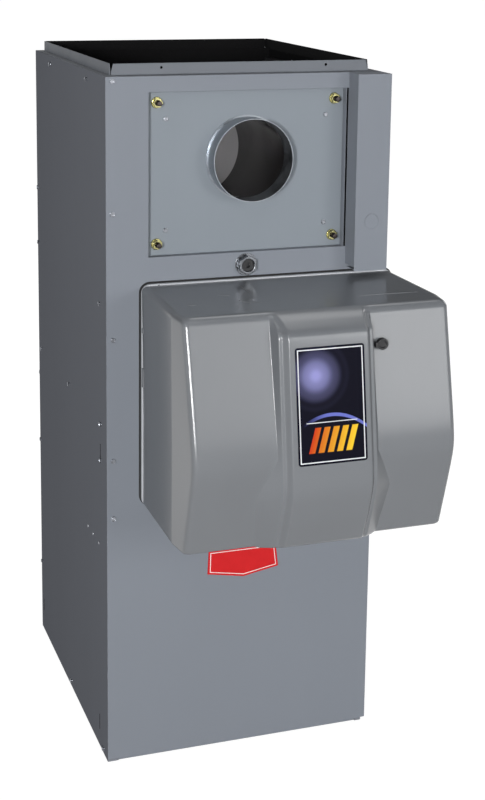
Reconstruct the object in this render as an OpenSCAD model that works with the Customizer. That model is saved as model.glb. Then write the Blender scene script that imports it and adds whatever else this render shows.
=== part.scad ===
// Upright oil-fired warm-air furnace, in millimetres.
// Origin: centre of the base. +X is the right side, +Y the back, +Z up. The burner faces -Y.

/* [Cabinet] */
// Width of the cabinet
cab_w = 533; // [520:1:620]
// Depth of the cabinet, without the burner cover
cab_d = 617; // [605:1:700]
// Height of the cabinet, without the duct flange
cab_h = 1314; // [1306:1:1420]
// Thickness of the cabinet's sheet metal
sheet = 1.2; // [0.8:0.1:1.6]
// Width of the bent edges that the panels are screwed to
edge_w = 20; // [16:1:24]
// Clear height between the deck and the primary drum
deck_gap = 20; // [14:1:30]
// Height of the deck's turned-up sides
deck_lip = 42; // [30:1:50]
// Strip of the base pan that shows under the front panel
base_reveal = 6; // [4:0.5:10]
// Height of the base pan's turned-up sides
base_lip = 40; // [25:1:60]
// Thickness of the insulation on the inner side walls
blanket_t = 12; // [8:1:20]

/* [Duct connection] */
// Height of the flange that the warm-air duct fits round
duct_h = 20; // [15:1:30]
// Cabinet's left edge to the duct opening
duct_left = 18; // [14:1:40]
// Cabinet's right edge to the duct opening
duct_right = 15; // [14:1:40]
// Cabinet's front edge to the duct opening
duct_front = 36; // [25:1:60]
// Cabinet's back edge to the duct opening
duct_back = 10; // [8:1:30]
// Radius of the screw holes in the flange
duct_hole_r = 2.6; // [2:0.1:3.5]
// Distance between the two screw holes in the flange
duct_hole_gap = 320; // [250:1:380]

/* [Flue outlet] */
// Width of the window in the front panel
window_w = 385; // [372:1:400]
// Height of the window in the front panel
window_h = 301; // [290:1:312]
// Centre of the window, right of the cabinet's centre
flue_x = 5; // [0:1:8]
// Height of the window's centre
window_z = 1134.5; // [1130:0.5:1140]
// Depth of the window, from the front panel to the flue plate
window_depth = 18; // [12:1:26]
// Thickness of the flue plate
flue_plate_t = 2.5; // [1.5:0.1:4]
// Outer radius of the flue collar
collar_r = 76.5; // [70:0.5:80]
// Wall of the flue collar
collar_wall = 1; // [0.8:0.1:1.5]
// Length of the flue collar in front of its plate
collar_len = 42; // [30:1:60]
// Height of the flue collar's centre
collar_z = 1158.5; // [1152:0.5:1160]
// Distance between the flue studs, across
stud_gap_x = 345; // [338:1:350]
// Distance between the flue studs, up and down
stud_gap_z = 260; // [250:1:264]
// Radius of the flue studs
stud_r = 5; // [4:0.5:6]
// Width across the flats of the flue nuts
nut_af = 16; // [14:0.5:18]

/* [Heat exchanger] */
// Outer radius of the primary drum
drum_r = 170; // [168:1:176]
// Length of the primary drum
drum_len = 500; // [440:1:520]
// Wall of both drums
drum_wall = 2; // [1.5:0.1:3]
// Height of the burner's axis and of the primary drum
burner_z = 820; // [816:1:824]
// Thickness of the combustion chamber's refractory
liner_t = 15; // [12:1:16]
// Length of the combustion chamber's refractory
liner_len = 270; // [200:1:300]
// Inner radius of the upper drum
flue_drum_r = 104; // [100:1:106]
// Length of the upper drum
flue_drum_len = 341; // [320:1:400]
// Height of the upper drum's axis
flue_drum_z = 1130; // [1126:1:1134]
// Outer radius of the neck between the drums
neck_r = 62; // [50:1:70]
// Height of the observation port
port_z = 961; // [955:1:964]
// Bore radius of the observation port's bushing
port_bore_r = 12; // [10:0.5:14]

/* [Wiring box] */
// Width of the wiring box
box_w = 67; // [60:1:68]
// Depth of the wiring box
box_d = 44; // [30:1:60]
// Height of the wiring box's lower end
box_z0 = 944; // [940:1:960]
// Height of the wiring notch in its side
notch_h = 7; // [5:0.5:12]
// Radius of the knockout
knockout_r = 14.3; // [11:0.1:18]
// Height of the knockout's centre
knockout_z = 1038; // [1000:1:1200]

/* [Burner] */
// Outer radius of the burner's air tube
tube_r = 51; // [48:0.5:54]
// Length of the air tube behind the cabinet's front
tube_len = 105; // [95:1:130]
// Width of the burner's housing
housing_w = 100; // [94:1:110]
// Outer radius of the housing round the wheel
housing_r = 92; // [88:1:96]
// Depth of the blower's axis in front of the cabinet
burner_axis_d = 112; // [106:1:120]
// Drop from the air tube's axis to the blower's axis
burner_drop = 105; // [100:1:110]
// Wall of the cast housing
cast_wall = 4; // [3:0.5:5]
// Radius of the burner's blower wheel
fan_r = 78; // [70:0.5:80]
// Radius of the burner motor
motor_r = 66; // [60:1:70]
// Length of the burner motor
motor_len = 132; // [110:1:140]
// Radius of the burner's shaft
shaft_r = 6.35; // [5:0.05:8]
// Radial running clearance of the shafts
run_gap = 0.05; // [0.02:0.01:0.08]
// Number of vanes in the burner's blower wheel
fan_vanes = 20; // [12:1:28]

/* [Burner cover] */
// Centre of the cover, right of the cabinet's centre
cover_x = 45.5; // [40:0.5:50]
// Half of the cover's width at the back
cover_hw = 245; // [240:1:250]
// Height of the cover's top
cover_top = 933; // [928:1:936]
// Height of the cover's bottom at the back
cover_bottom = 514; // [500:1:525]
// Depth of the side bays at their fullest
cover_d = 308; // [300:1:320]
// Rise of the centre panel over the side bays
panel_rise = 26; // [18:1:32]
// Half of the centre panel's width at its shoulders
panel_hw = 88.5; // [86:0.5:92]
// Wall of the moulded cover
cover_wall = 3; // [2.5:0.1:4]
// Radius of the knob's stud
knob_stud_r = 4; // [3:0.1:5]
// Knob's centre, right of the cover's centre
knob_dx = 108.5; // [106:0.5:125]
// Height of the knob's centre
knob_z = 870; // [860:1:880]

/* [Main blower] */
// Radius of the blower wheel
wheel_r = 133; // [125:1:136]
// Width of the blower wheel
wheel_w = 250; // [220:1:256]
// Number of blades in the blower wheel
wheel_blades = 36; // [24:2:44]
// Scroll radius at the cutoff
scroll_r0 = 144; // [141:0.5:150]
// Scroll radius at the outlet
scroll_r1 = 215; // [205:1:225]
// Height of the blower's shaft
blower_z = 330; // [310:1:350]
// Place of the blower's shaft, behind the cabinet's centre
blower_y = -60; // [-80:1:-40]
// Radius of the blower motor
blower_motor_r = 70; // [60:1:76]
// Length of the blower motor
blower_motor_len = 120; // [90:1:124]

/* [Rear door] */
// Gap round the blower door
door_gap = 2; // [1:0.5:4]
// Radius of the door's thumb screws
thumb_r = 3; // [2.5:0.1:4]
// Height of the thumb screws below the door's top
thumb_drop = 24; // [16:1:40]
// Width of the return-air opening in the right side
return_w = 380; // [300:1:440]
// Height of the return-air opening
return_h = 400; // [300:1:440]

/* [Hidden] */

$fn = 48;
eps = 0.5;            // overshoot of a cut
seat = 0.2;           // small gap where curved faces meet
hw = cab_w / 2;       // cabinet's outer side face
front = -cab_d / 2;   // plane of the cabinet's front
back = cab_d / 2;     // plane of the cabinet's back
deck_z = burner_z - drum_r - deck_gap;
steel = [0.52, 0.55, 0.59];
galv = [0.72, 0.74, 0.76];
black = [0.10, 0.10, 0.11];
plastic = [0.60, 0.62, 0.65];

// Window in the front panel and what is behind it
window_l = flue_x - window_w / 2;
window_r = flue_x + window_w / 2;
window_b = window_z - window_h / 2;
window_t = window_z + window_h / 2;
duct_hole_x = (duct_left - duct_right) / 2 + 4.5;
plate_y = front + window_depth;
plate_lap = 6;
gasket_t = 3.5;
gasket_y = plate_y + flue_plate_t;
frame_y = gasket_y + gasket_t;
frame_t = 3;
frame_w = window_w - 13;
frame_h = window_h - 15;
collar_lip = 12;
collar_flange_t = 1.2;
collar_bead = 2.5;
flue_len = flue_drum_len;
flue_back = frame_y + frame_t + flue_len;
neck_y = frame_y + frame_t + 0.76 * flue_len;

// Primary drum
drum_y = front + 60;
drum_plate = 3;
drum_back = drum_y + drum_len;
cradle_t = 4;
cradle_foot = 30;
liner_r = drum_r - drum_wall - seat;
peep_r = port_bore_r - 0.5;
burner_port_r = tube_r + 8;

// Burner
flange_t = 4;
gasket_b = 3;
flange_r = 96;
blower_d = front - burner_axis_d;
fan_z = burner_z - burner_drop;
housing_front = front - gasket_b - flange_t;
housing_back = front - 2 * burner_axis_d + gasket_b + flange_t;
fan_w = housing_w - 2 * cast_wall - 8;
motor_x = housing_w / 2 + seat;
housing_top = burner_z + tube_r + 3;
inlet_bore = 50;
line_r = 5;
line_y = blower_d + 14;
pump_gap = 14;
control_x = motor_x + 30;
control_z = fan_z + motor_r + 24;

// Burner cover
bulge_z = 685;        // height at which the side bays are fullest
crest_z = 635;        // height at which the centre panel is fullest
scoop_z = 620;        // height at which the scoops beside the panel are widest
brow_h = 30;          // height of the slope at the panel's top
panel_step = 11;      // drop from the panel's face to its shoulders
crown = 0.6;          // how much deeper the bays are beside the panel than at the sides
crease_d = 205;       // depth of the crease in the cover's sides
cover_edge_r = 10;
rim_w = 3;            // how far the rim stands out round the cover
rim_d = 6;
rim_r = 14;
seal_t = 3;
cover_y = front - seal_t;
knob_x = cover_x + knob_dx;
knob_neck_r = 6;
knob_y = cover_y - bay_depth(knob_z - knob_neck_r) - 0.8;
bracket_reach = bay_depth(knob_z) - 34;

// Blower
scroll_w = wheel_w + 14;
scroll_from = 80;
scroll_top = deck_z - 2;
inlet_r = wheel_r - 20;
scroll_t = 1.2;
blower_shaft_r = 6.35;

hub_x = wheel_w / 2 - 30;
blower_motor_x = hub_x - wheel_w / 2 + 20;
board_y = front + 130;
board_z = 380;

// Rear door
door_top = deck_z - 8;
door_pull_z = door_top - 70;
thumb_x = hw - sheet - edge_w / 2;
thumb_z = door_top - thumb_drop;

module slab(a, b) {
    translate(a) cube(b - a);
}

module cyl_x(r, h) {
    rotate([0, 90, 0]) cylinder(r = r, h = h);
}

module cyl_y(r, h) {
    rotate([-90, 0, 0]) cylinder(r = r, h = h);
}

// Hexagonal prism along Y
module hex_y(af, h) {
    rotate([-90, 0, 0]) cylinder(r = af / 2 / cos(30), h = h, $fn = 6);
}

// Rectangle with round corners, its lower left corner at the origin
module round_rect(w, h, r) {
    translate([r, 0]) square([w - 2 * r, h]);
    translate([0, r]) square([w, h - 2 * r]);
    for (x = [r, w - r], y = [r, h - r]) translate([x, y]) circle(r);
}

// Upright plate with round corners, centred in X and Z, from its front face back by t
module round_plate_y(w, h, r, t) {
    rotate([90, 0, 0]) translate([-w / 2, -h / 2, -t]) linear_extrude(t) round_rect(w, h, r);
}

module at_studs() {
    for (sx = [-1, 1], sz = [-1, 1])
        translate([flue_x + sx * stud_gap_x / 2, 0, window_z + sz * stud_gap_z / 2]) children();
}

// Cabinet

module base_pan() {
    inset = 3 * sheet;
    color(steel) difference() {
        union() {
            slab([-hw + sheet, front + inset, 0], [hw - sheet, back - inset, sheet]);
            for (s = [-1, 1]) slab(
                [s < 0 ? -hw + sheet : hw - 2 * sheet, front + inset, 0],
                [s < 0 ? -hw + 2 * sheet : hw - sheet, back - inset, base_lip]);
            slab([-hw + sheet, front + inset, 0], [hw - sheet, front + inset + sheet, base_lip]);
            slab([-hw + sheet, back - inset - sheet, 0], [hw - sheet, back - inset, base_lip]);
        }
        slab([hw - 8, front, -eps], [hw, front + 30, base_reveal]);
    }
}

// Side panel with its two bent edges; side is -1 for left and 1 for right
module side_panel(side) {
    mirror([side < 0 ? 0 : 1, 0, 0]) {
        slab([-hw, front + sheet, 0], [-hw + sheet, back - sheet, cab_h]);
        for (y = [front + sheet, back - 2 * sheet])
            slab([-hw, y, 0], [-hw + sheet + edge_w, y + sheet, cab_h - sheet]);
    }
}

module left_side_panel() {
    color(steel) difference() {
        side_panel(-1);
        translate([-thumb_x, back - 3 * sheet, thumb_z]) cyl_y(thumb_r + 0.4, 4 * sheet);
    }
}

module right_side_panel() {
    color(steel) difference() {
        side_panel(1);
        translate([thumb_x, back - 3 * sheet, thumb_z]) cyl_y(thumb_r + 0.4, 4 * sheet);
        slab([hw - 3 * sheet, -return_w / 2, base_lip + 60],
             [hw + eps, return_w / 2, base_lip + 60 + return_h]);
        slab([hw - 8, front, -eps], [hw + eps, front + 30, base_reveal]);
    }
}

module front_panel() {
    lip = window_depth - sheet;
    jamb_gap = 3.4;
    color(steel) {
        difference() {
            slab([-hw, front, base_reveal], [hw, front + sheet, cab_h]);
            slab([window_l, front - eps, window_b],
                 [window_r + jamb_gap / 2, front + 2 * sheet, window_t]);
            translate([0, front - eps, burner_z]) cyl_y(burner_port_r + 12, 3 * sheet);
            translate([0, front - eps, port_z]) cyl_y(peep_r + 0.5, 3 * sheet);
        }
        // The right side's bent edge stands clear of the wiring box
        for (x = [window_l - sheet, window_r - sheet - jamb_gap / 2])
            slab([x, front + sheet, window_b - sheet], [x + sheet, front + lip, window_t + sheet]);
        for (z = [window_b - sheet, window_t])
            slab([window_l, front + sheet, z], [window_r, front + lip, z + sheet]);
    }
}

module rear_panel() {
    color(steel) slab([-hw, back - sheet, door_top + door_gap], [hw, back, cab_h]);
}

// Turned-up flange of the duct opening, along X from the origin, with its ends clipped
module duct_side(len, clip0, clip1) {
    rotate([90, 0, 0]) linear_extrude(sheet)
        polygon([[1, 0], [len - 1, 0], [len - 1, 6],
                 [len - clip1, duct_h], [clip0, duct_h], [1, 6]]);
}

module top_plate() {
    x0 = -hw + duct_left;
    x1 = hw - duct_right;
    y0 = front + duct_front;
    y1 = back - duct_back;
    wide = 5;
    narrow = 2;
    color(steel) {
        difference() {
            slab([-hw + sheet, front + sheet, cab_h - sheet], [hw - sheet, back - sheet, cab_h]);
            slab([x0, y0, cab_h - 2 * sheet], [x1, y1, cab_h + eps]);
        }
        difference() {
            translate([x0, y0, cab_h]) duct_side(x1 - x0, wide, wide);
            for (s = [-1, 1]) translate([duct_hole_x + s * duct_hole_gap / 2, y0 - 3 * sheet,
                                         cab_h + 0.6 * duct_h]) cyl_y(duct_hole_r, 6 * sheet);
        }
        translate([x0, y1 + sheet, cab_h]) duct_side(x1 - x0, narrow, narrow);
        for (x = [x0 - sheet, x1]) translate([x, y0, cab_h]) rotate(90)
            duct_side(y1 - y0, wide, narrow);
        for (x = [-hw + sheet, hw - 2 * sheet])
            slab([x, front + 3 * sheet, cab_h - sheet - edge_w],
                 [x + sheet, back - 3 * sheet, cab_h - sheet]);
    }
}

module divider_deck() {
    inset = 3 * sheet;
    throat = [scroll_x0(), scroll_x1()];
    color(galv) difference() {
        union() {
            slab([-hw + sheet, front + inset, deck_z], [hw - sheet, back - inset, deck_z + sheet]);
            for (x = [-hw + sheet, hw - 2 * sheet])
                slab([x, front + inset, deck_z], [x + sheet, back - inset, deck_z + deck_lip]);
        }
        slab([-scroll_w / 2 + 2, blower_y + throat[0], deck_z - eps],
             [scroll_w / 2 - 2, blower_y + throat[1], deck_z + 2 * sheet]);
    }
}

module side_insulation() {
    z0 = deck_z + deck_lip + 1;
    z1 = cab_h - sheet - edge_w - 1;
    color([0.75, 0.74, 0.70]) for (s = [-1, 1])
        slab([s < 0 ? -hw + sheet : hw - sheet - blanket_t, front + 4 * sheet, z0],
             [s < 0 ? -hw + sheet + blanket_t : hw - sheet, back - 4 * sheet, z1]);
}

module cabinet_screw() {
    cylinder(r = 4.6, h = 0.9);
    cylinder(r = 4 / cos(30), h = 3.6, $fn = 6);
    translate([0, 0, -5]) cylinder(r = 1.8, h = 5.4, $fn = 16);
}

// Places of the screws in each side panel, as [distance behind the front, height]
side_screws = [
    [144, cab_h - 17], [466, cab_h - 17], [cab_d - 12, 1019], [cab_d - 12, 898], [49, 892],
    [45, deck_z + 0.75 * deck_lip], [314, deck_z + 0.75 * deck_lip],
    [cab_d - 30, deck_z + 0.75 * deck_lip], [45, 591], [cab_d - 12, 449], [cab_d - 12, 161],
    [314, 13], [35, 10]
];
front_screws = [cab_h - 8, 1067, 834, 603, 491];
rear_screws = [cab_h - 30, 1060, 850, deck_z + 16];

module cabinet_screws() {
    color(galv) {
        for (p = side_screws, s = [-1, 1])
            translate([s * hw, front + p[0], p[1]]) rotate([0, s * 90, 0]) cabinet_screw();
        for (z = front_screws, s = [-1, 1]) if (s < 0 || z < box_z0 - 20)
            translate([s * (hw - 12), front, z]) rotate([90, 0, 0]) cabinet_screw();
        for (z = rear_screws, s = [-1, 1])
            translate([s * (hw - 12), back, z]) rotate([-90, 0, 0]) cabinet_screw();
        for (sx = [-1, 1], sz = [-1, 1])
            translate([flue_x + sx * 155.5, plate_y, window_z - 2.5 + sz * 102.5])
                rotate([90, 0, 0]) cabinet_screw();
    }
}

// Blower door and what is on it

module blower_door() {
    lip = 12;
    color(steel) difference() {
        union() {
            slab([-hw, back - sheet, base_reveal], [hw, back, door_top]);
            for (z = [base_reveal + base_lip + 4, door_top - 4])
                slab([-hw + 40, back - sheet - lip, z], [hw - 40, back - sheet, z + sheet]);
        }
        for (s = [-1, 1]) translate([s * thumb_x, back - 2 * sheet, thumb_z])
            cyl_y(thumb_r + 0.4, 3 * sheet);
        translate([0, back, door_pull_z]) pull_body(0.3, 4);
    }
}

// Oval cup of the door pull; grow widens it and up is how far it stands out
module pull_body(grow, up) {
    for (s = [-1, 1]) translate([s * 40, -14, 0]) cyl_y(15 + grow, 14 + up);
    slab([-40, -14, -15 - grow], [40, up, 15 + grow]);
}

module door_pull() {
    color(black) translate([0, back, door_pull_z]) difference() {
        union() {
            pull_body(0, 0.5);
            for (s = [-1, 1]) translate([s * 40, 0, 0]) cyl_y(20, 2);
            slab([-40, 0, -20], [40, 2, 20]);
        }
        for (s = [-1, 1]) translate([s * 40, -12, 0]) cyl_y(13, 20);
        slab([-40, -12, -13], [40, 20, 13]);
    }
}

// Thumb screw of the door: knurled head outside, shank through door and bent edge
module thumb_screw() {
    difference() {
        translate([0, 0.3, 0]) cyl_y(11, 9);
        for (a = [0:20:340]) rotate([0, a, 0]) translate([11.4, 0, 0]) cyl_y(0.9, 12, $fn = 16);
    }
    translate([0, -9, 0]) cyl_y(thumb_r, 10);
}

module door_screw_left() {
    color(galv) translate([-thumb_x, back, thumb_z]) thumb_screw();
}

module door_screw_right() {
    color(galv) translate([thumb_x, back, thumb_z]) thumb_screw();
}

// Flue outlet

module flue_plate() {
    color(steel) difference() {
        translate([flue_x, plate_y, window_z])
            round_plate_y(window_w + 2 * plate_lap, window_h + 2 * plate_lap, 3, flue_plate_t);
        translate([flue_x, plate_y - eps, collar_z]) cyl_y(collar_r + seat, flue_plate_t + 2 * eps);
        at_studs() translate([0, plate_y - eps, 0]) cyl_y(stud_r + 0.5, flue_plate_t + 2 * eps);
    }
}

module flue_gasket() {
    color([0.85, 0.85, 0.82]) difference() {
        translate([flue_x, gasket_y, window_z]) round_plate_y(frame_w, frame_h, 3, gasket_t);
        translate([flue_x, gasket_y - eps, flue_drum_z]) cyl_y(flue_drum_r, gasket_t + 2 * eps);
        translate([flue_x, gasket_y - eps, collar_z])
            cyl_y(collar_r + collar_lip + seat, collar_flange_t + eps);
        at_studs() translate([0, gasket_y - eps, 0]) cyl_y(stud_r + 0.5, gasket_t + 2 * eps);
    }
}

module flue_collar() {
    color(galv) translate([flue_x, 0, collar_z]) difference() {
        union() {
            translate([0, plate_y - collar_len, 0]) cyl_y(collar_r, collar_len + flue_plate_t);
            translate([0, gasket_y, 0]) cyl_y(collar_r + collar_lip, collar_flange_t);
            translate([0, plate_y - collar_bead, 0]) cyl_y(collar_r + collar_bead, collar_bead);
        }
        translate([0, plate_y - collar_len - eps, 0])
            cyl_y(collar_r - collar_wall, collar_len + window_depth);
    }
}

module flue_studs() {
    color(galv) at_studs() translate([0, front - 3, 0]) cyl_y(stud_r, frame_y - front + 3);
}

module flue_nuts() {
    flange_h = 2.5;
    nut_h = 8;
    color([0.80, 0.74, 0.45]) at_studs() translate([0, plate_y, 0]) difference() {
        union() {
            translate([0, -flange_h, 0]) cyl_y(nut_af * 0.69, flange_h);
            translate([0, -flange_h - nut_h, 0]) hex_y(nut_af, nut_h);
        }
        translate([0, -flange_h - nut_h - eps, 0]) cyl_y(stud_r + run_gap, nut_h + flange_h + 1);
    }
}

// Heat exchanger

module flue_drum() {
    outer = flue_drum_r + drum_wall;
    color(black) difference() {
        union() {
            translate([flue_x, frame_y, window_z]) round_plate_y(frame_w, frame_h, 3, frame_t);
            translate([flue_x, frame_y, flue_drum_z]) cyl_y(outer, frame_t + flue_len);
        }
        translate([flue_x, frame_y - eps, flue_drum_z]) cyl_y(flue_drum_r, flue_len + 2 * frame_t);
        translate([flue_x, neck_y, flue_drum_z - 2 * flue_drum_r])
            cylinder(r = neck_r - drum_wall, h = 2 * flue_drum_r);
    }
}

module flue_drum_end() {
    color([0.45, 0.45, 0.46]) translate([flue_x, flue_back, flue_drum_z]) {
        cyl_y(flue_drum_r + drum_wall, 2.5);
        translate([0, 2.5, 0]) cyl_y(flue_drum_r - 14, 6);
    }
}

module crossover_neck() {
    outer = flue_drum_r + drum_wall;
    color(black) difference() {
        translate([flue_x, neck_y, burner_z + drum_r - 40])
            cylinder(r = neck_r, h = flue_drum_z - burner_z - drum_r);
        translate([flue_x, neck_y, burner_z])
            cylinder(r = neck_r - drum_wall, h = flue_drum_z - burner_z);
        translate([0, drum_y - eps, burner_z]) cyl_y(drum_r + seat, drum_len + 2 * eps);
        translate([flue_x, frame_y, flue_drum_z]) cyl_y(outer + seat, flue_len + 30);
    }
}

module primary_drum() {
    color([0.30, 0.30, 0.31]) difference() {
        union() {
            translate([0, drum_y, burner_z]) cyl_y(drum_r, drum_len);
            translate([0, drum_back - drum_plate, burner_z]) cyl_y(drum_r - 24, drum_plate + 8);
        }
        translate([0, drum_y + drum_plate, burner_z])
            cyl_y(drum_r - drum_wall, drum_len - 2 * drum_plate);
        translate([0, drum_y - eps, burner_z]) cyl_y(burner_port_r, 2 * drum_plate);
        translate([0, drum_y - eps, port_z]) cyl_y(peep_r + 0.5, 2 * drum_plate);
        translate([flue_x, neck_y, burner_z]) cylinder(r = neck_r - drum_wall, h = drum_r + 10);
    }
}

module refractory_liner() {
    y0 = drum_y + drum_plate + seat;
    color([0.90, 0.88, 0.82]) difference() {
        translate([0, y0, burner_z]) cyl_y(liner_r, liner_len);
        translate([0, y0 + liner_t, burner_z]) cyl_y(liner_r - liner_t, liner_len);
        translate([0, y0 - eps, burner_z]) cyl_y(tube_r + 3, liner_t + 2 * eps);
        translate([0, y0 - eps, port_z]) cyl_y(peep_r + 0.5, liner_t + 2 * eps);
        // Way up to the neck between the drums
        translate([flue_x, neck_y, burner_z]) cylinder(r = neck_r - drum_wall, h = drum_r);
    }
}

module drum_cradle() {
    rise = 40;
    spread = sqrt(drum_r * drum_r - (drum_r - rise) * (drum_r - rise)) + 0.5;
    color(galv) for (y = [drum_y + 100, drum_back - 100]) difference() {
        union() {
            slab([-spread, y, deck_z + sheet], [spread, y + cradle_t, burner_z - drum_r + rise]);
            for (s = [-1, 1]) translate([s * (spread - 20), 0, 0])
                slab([-15, y, deck_z + sheet], [15, y + cradle_foot, deck_z + sheet + 2]);
        }
        translate([0, drum_y - eps, burner_z]) cyl_y(drum_r + seat, drum_len + 2 * eps);
    }
}

module observation_tube() {
    color(galv) translate([0, front, port_z]) difference() {
        cyl_y(peep_r, drum_y - front + drum_plate + liner_t - 2);
        translate([0, -eps, 0]) cyl_y(peep_r - 2, drum_y - front + 2 * liner_t);
    }
}

module port_bushing() {
    washer_r = 21;
    hex_h = 13;
    color([0.80, 0.81, 0.83]) translate([0, front, port_z]) difference() {
        union() {
            translate([0, -2, 0]) cyl_y(washer_r, 2);
            translate([0, -2 - hex_h, 0]) hex_y(33, hex_h);
        }
        translate([0, -2 - hex_h - eps, 0]) cyl_y(port_bore_r, hex_h + 2 + 2 * eps);
    }
}

module port_plug() {
    color(black) translate([0, front, port_z]) difference() {
        translate([0, -11, 0]) cyl_y(port_bore_r - run_gap, 10.7);
        translate([0, -11 - eps, 0]) hex_y(10, 6);
    }
}

// Wiring box

module wiring_box() {
    x0 = hw - box_w;
    color(steel) difference() {
        slab([x0, front - box_d, box_z0], [hw, front, cab_h]);
        slab([x0 + sheet, front - box_d + sheet, box_z0 + sheet],
             [hw - sheet, front + eps, cab_h - sheet]);
        slab([x0 - eps, front - box_d + sheet, box_z0 - eps],
             [x0 + 3 * sheet, front + eps, box_z0 + notch_h]);
        translate([x0 + box_w / 2, front - box_d - eps, knockout_z]) cyl_y(knockout_r, 3 * sheet);
    }
}

module knockout() {
    color(steel) translate([hw - box_w / 2, front - box_d + 0.1, knockout_z])
        cyl_y(knockout_r - seat, sheet - 0.1);
}

module terminal_block() {
    color([0.85, 0.80, 0.66]) translate([hw - box_w / 2, front - 22, box_z0 + 120]) difference() {
        slab([-12, 0, 0], [12, 22, 90]);
        for (z = [10:14:80]) slab([-9, -eps, z], [9, 9, z + 9]);
    }
}

module limit_switch() {
    color(black) translate([104, front, burner_z + 90]) {
        translate([0, -14, 0]) cyl_y(13, 14);
        slab([-16, -3, -9], [16, 0, 9]);
    }
}

// Burner

module burner_gasket() {
    color([0.85, 0.85, 0.82]) difference() {
        translate([0, front - gasket_b, burner_z]) cyl_y(flange_r, gasket_b);
        translate([0, front - gasket_b - eps, burner_z]) cyl_y(tube_r + 1, gasket_b + 2 * eps);
    }
}

module burner_flange() {
    y0 = front - gasket_b - flange_t;
    color([0.62, 0.64, 0.66]) {
        difference() {
            translate([0, y0, burner_z]) cyl_y(flange_r, flange_t);
            translate([0, y0 - eps, burner_z]) cyl_y(tube_r + seat, flange_t + 2 * eps);
        }
        for (a = [20, 160, 200, 340]) translate([0, y0 - 6, burner_z]) rotate([0, a, 0])
            translate([flange_r - 13, 0, 0]) hex_y(13, 6);
    }
}

module air_tube() {
    color(galv) difference() {
        translate([0, housing_front - cast_wall, burner_z])
            cyl_y(tube_r, front + tube_len - housing_front + cast_wall);
        translate([0, housing_front - 2 * cast_wall, burner_z]) cyl_y(tube_r - 1.5, cab_d);
    }
}

// Outline of the cast housing in the plane of its wheel: a round belly and a square throat
module housing_side(shrink) {
    translate([-burner_axis_d, fan_z]) circle(housing_r - shrink);
    translate([-2 * burner_axis_d + gasket_b + flange_t + shrink, fan_z])
        square([2 * burner_axis_d - 2 * (gasket_b + flange_t + shrink),
                housing_top - fan_z - shrink]);
}

module housing_solid(w, shrink) {
    rotate([90, 0, 90]) translate([front, 0, -w / 2]) linear_extrude(w) housing_side(shrink);
}

module burner_housing() {
    inner_w = housing_w - 2 * cast_wall;
    color([0.66, 0.67, 0.68]) difference() {
        union() {
            housing_solid(housing_w, 0);
            translate([-housing_w / 2 - 5, housing_back, housing_top - 10])
                cube([housing_w + 10, housing_front - housing_back, 10]);
        }
        housing_solid(inner_w, cast_wall);
        translate([0, housing_front - cast_wall - eps, burner_z])
            cyl_y(tube_r + seat, cast_wall + 2 * eps);
        slab([-inner_w / 2, housing_back + cast_wall, housing_top - 12],
             [inner_w / 2, housing_front - cast_wall, housing_top + eps]);
        translate([-housing_w, blower_d, fan_z]) cyl_x(inlet_bore, housing_w);
        translate([0, blower_d, fan_z]) cyl_x(shaft_r + 6, housing_w);
        translate([-housing_w / 2 - eps, line_y, burner_z]) cyl_x(line_r + 2, cast_wall + 2 * eps);
    }
}

// Blower wheel of the burner with its shaft; the shaft carries the pump's coupling
module burner_wheel() {
    x0 = -fan_w / 2;
    color([0.55, 0.56, 0.58]) translate([0, blower_d, fan_z]) {
        translate([x0 + fan_w - 3, 0, 0]) difference() {
            cyl_x(fan_r, 3);
            translate([-eps, 0, 0]) cyl_x(shaft_r - 1, 4);
        }
        translate([x0, 0, 0]) difference() {
            cyl_x(fan_r, 3);
            translate([-eps, 0, 0]) cyl_x(fan_r - 14, 4);
        }
        for (k = [0:fan_vanes - 1]) rotate([k * 360 / fan_vanes, 0, 0])
            translate([x0 + 2, 0, fan_r - 13]) rotate([32, 0, 0]) cube([fan_w - 4, 1.5, 12]);
        translate([x0 + fan_w - 30, 0, 0]) difference() {
            cyl_x(16, 30);
            translate([-eps, 0, 0]) cyl_x(shaft_r - 1, 32);
        }
        translate([-housing_w / 2 - 12, 0, 0]) cyl_x(shaft_r, housing_w / 2 + 12 + motor_x + 40);
        translate([-housing_w / 2 - 12, 0, 0]) cyl_x(11, 24);
    }
}

module burner_motor() {
    x0 = motor_x;
    color(black) translate([x0, blower_d, fan_z]) difference() {
        union() {
            cyl_x(motor_r + 6, 6);
            cyl_x(motor_r, motor_len - 12);
            translate([motor_len - 12, 0, 0]) cyl_x(motor_r - 8, 12);
            for (a = [40:20:320]) rotate([a, 0, 0])
                translate([14, -1.5, motor_r - 4]) cube([motor_len - 40, 3, 7]);
            slab([18, -30, motor_r - 8], [motor_len - 22, 30, motor_r + 18]);
        }
        translate([-eps, 0, 0]) cyl_x(shaft_r + run_gap, 60);
    }
}

module fuel_pump() {
    x1 = -housing_w / 2 - pump_gap;
    color([0.70, 0.71, 0.72]) translate([x1, blower_d, fan_z]) {
        translate([-34, 0, 0]) cyl_x(34, 34);
        translate([-46, -27, -27]) cube([13, 54, 54]);
        for (s = [-1, 1]) translate([-20, s * 16, 20]) cylinder(r = 8, h = 24);
        translate([-20, 0, -44]) cylinder(r = 7, h = 20);
        for (y = [-1, 1], z = [-1, 1]) translate([-50, y * 20, z * 20]) cyl_x(4, 6);
    }
    // Two arms hold the pump on the housing, outside the air shutter
    color([0.70, 0.71, 0.72]) for (s = [-1, 1]) translate([0, blower_d, fan_z + s * 64]) {
        slab([x1 - 14, -8, -5], [-housing_w / 2, 8, 5]);
        slab([x1 - 14, -8, s < 0 ? 0 : -34], [x1 - 4, 8, s < 0 ? 34 : 0]);
    }
}

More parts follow.
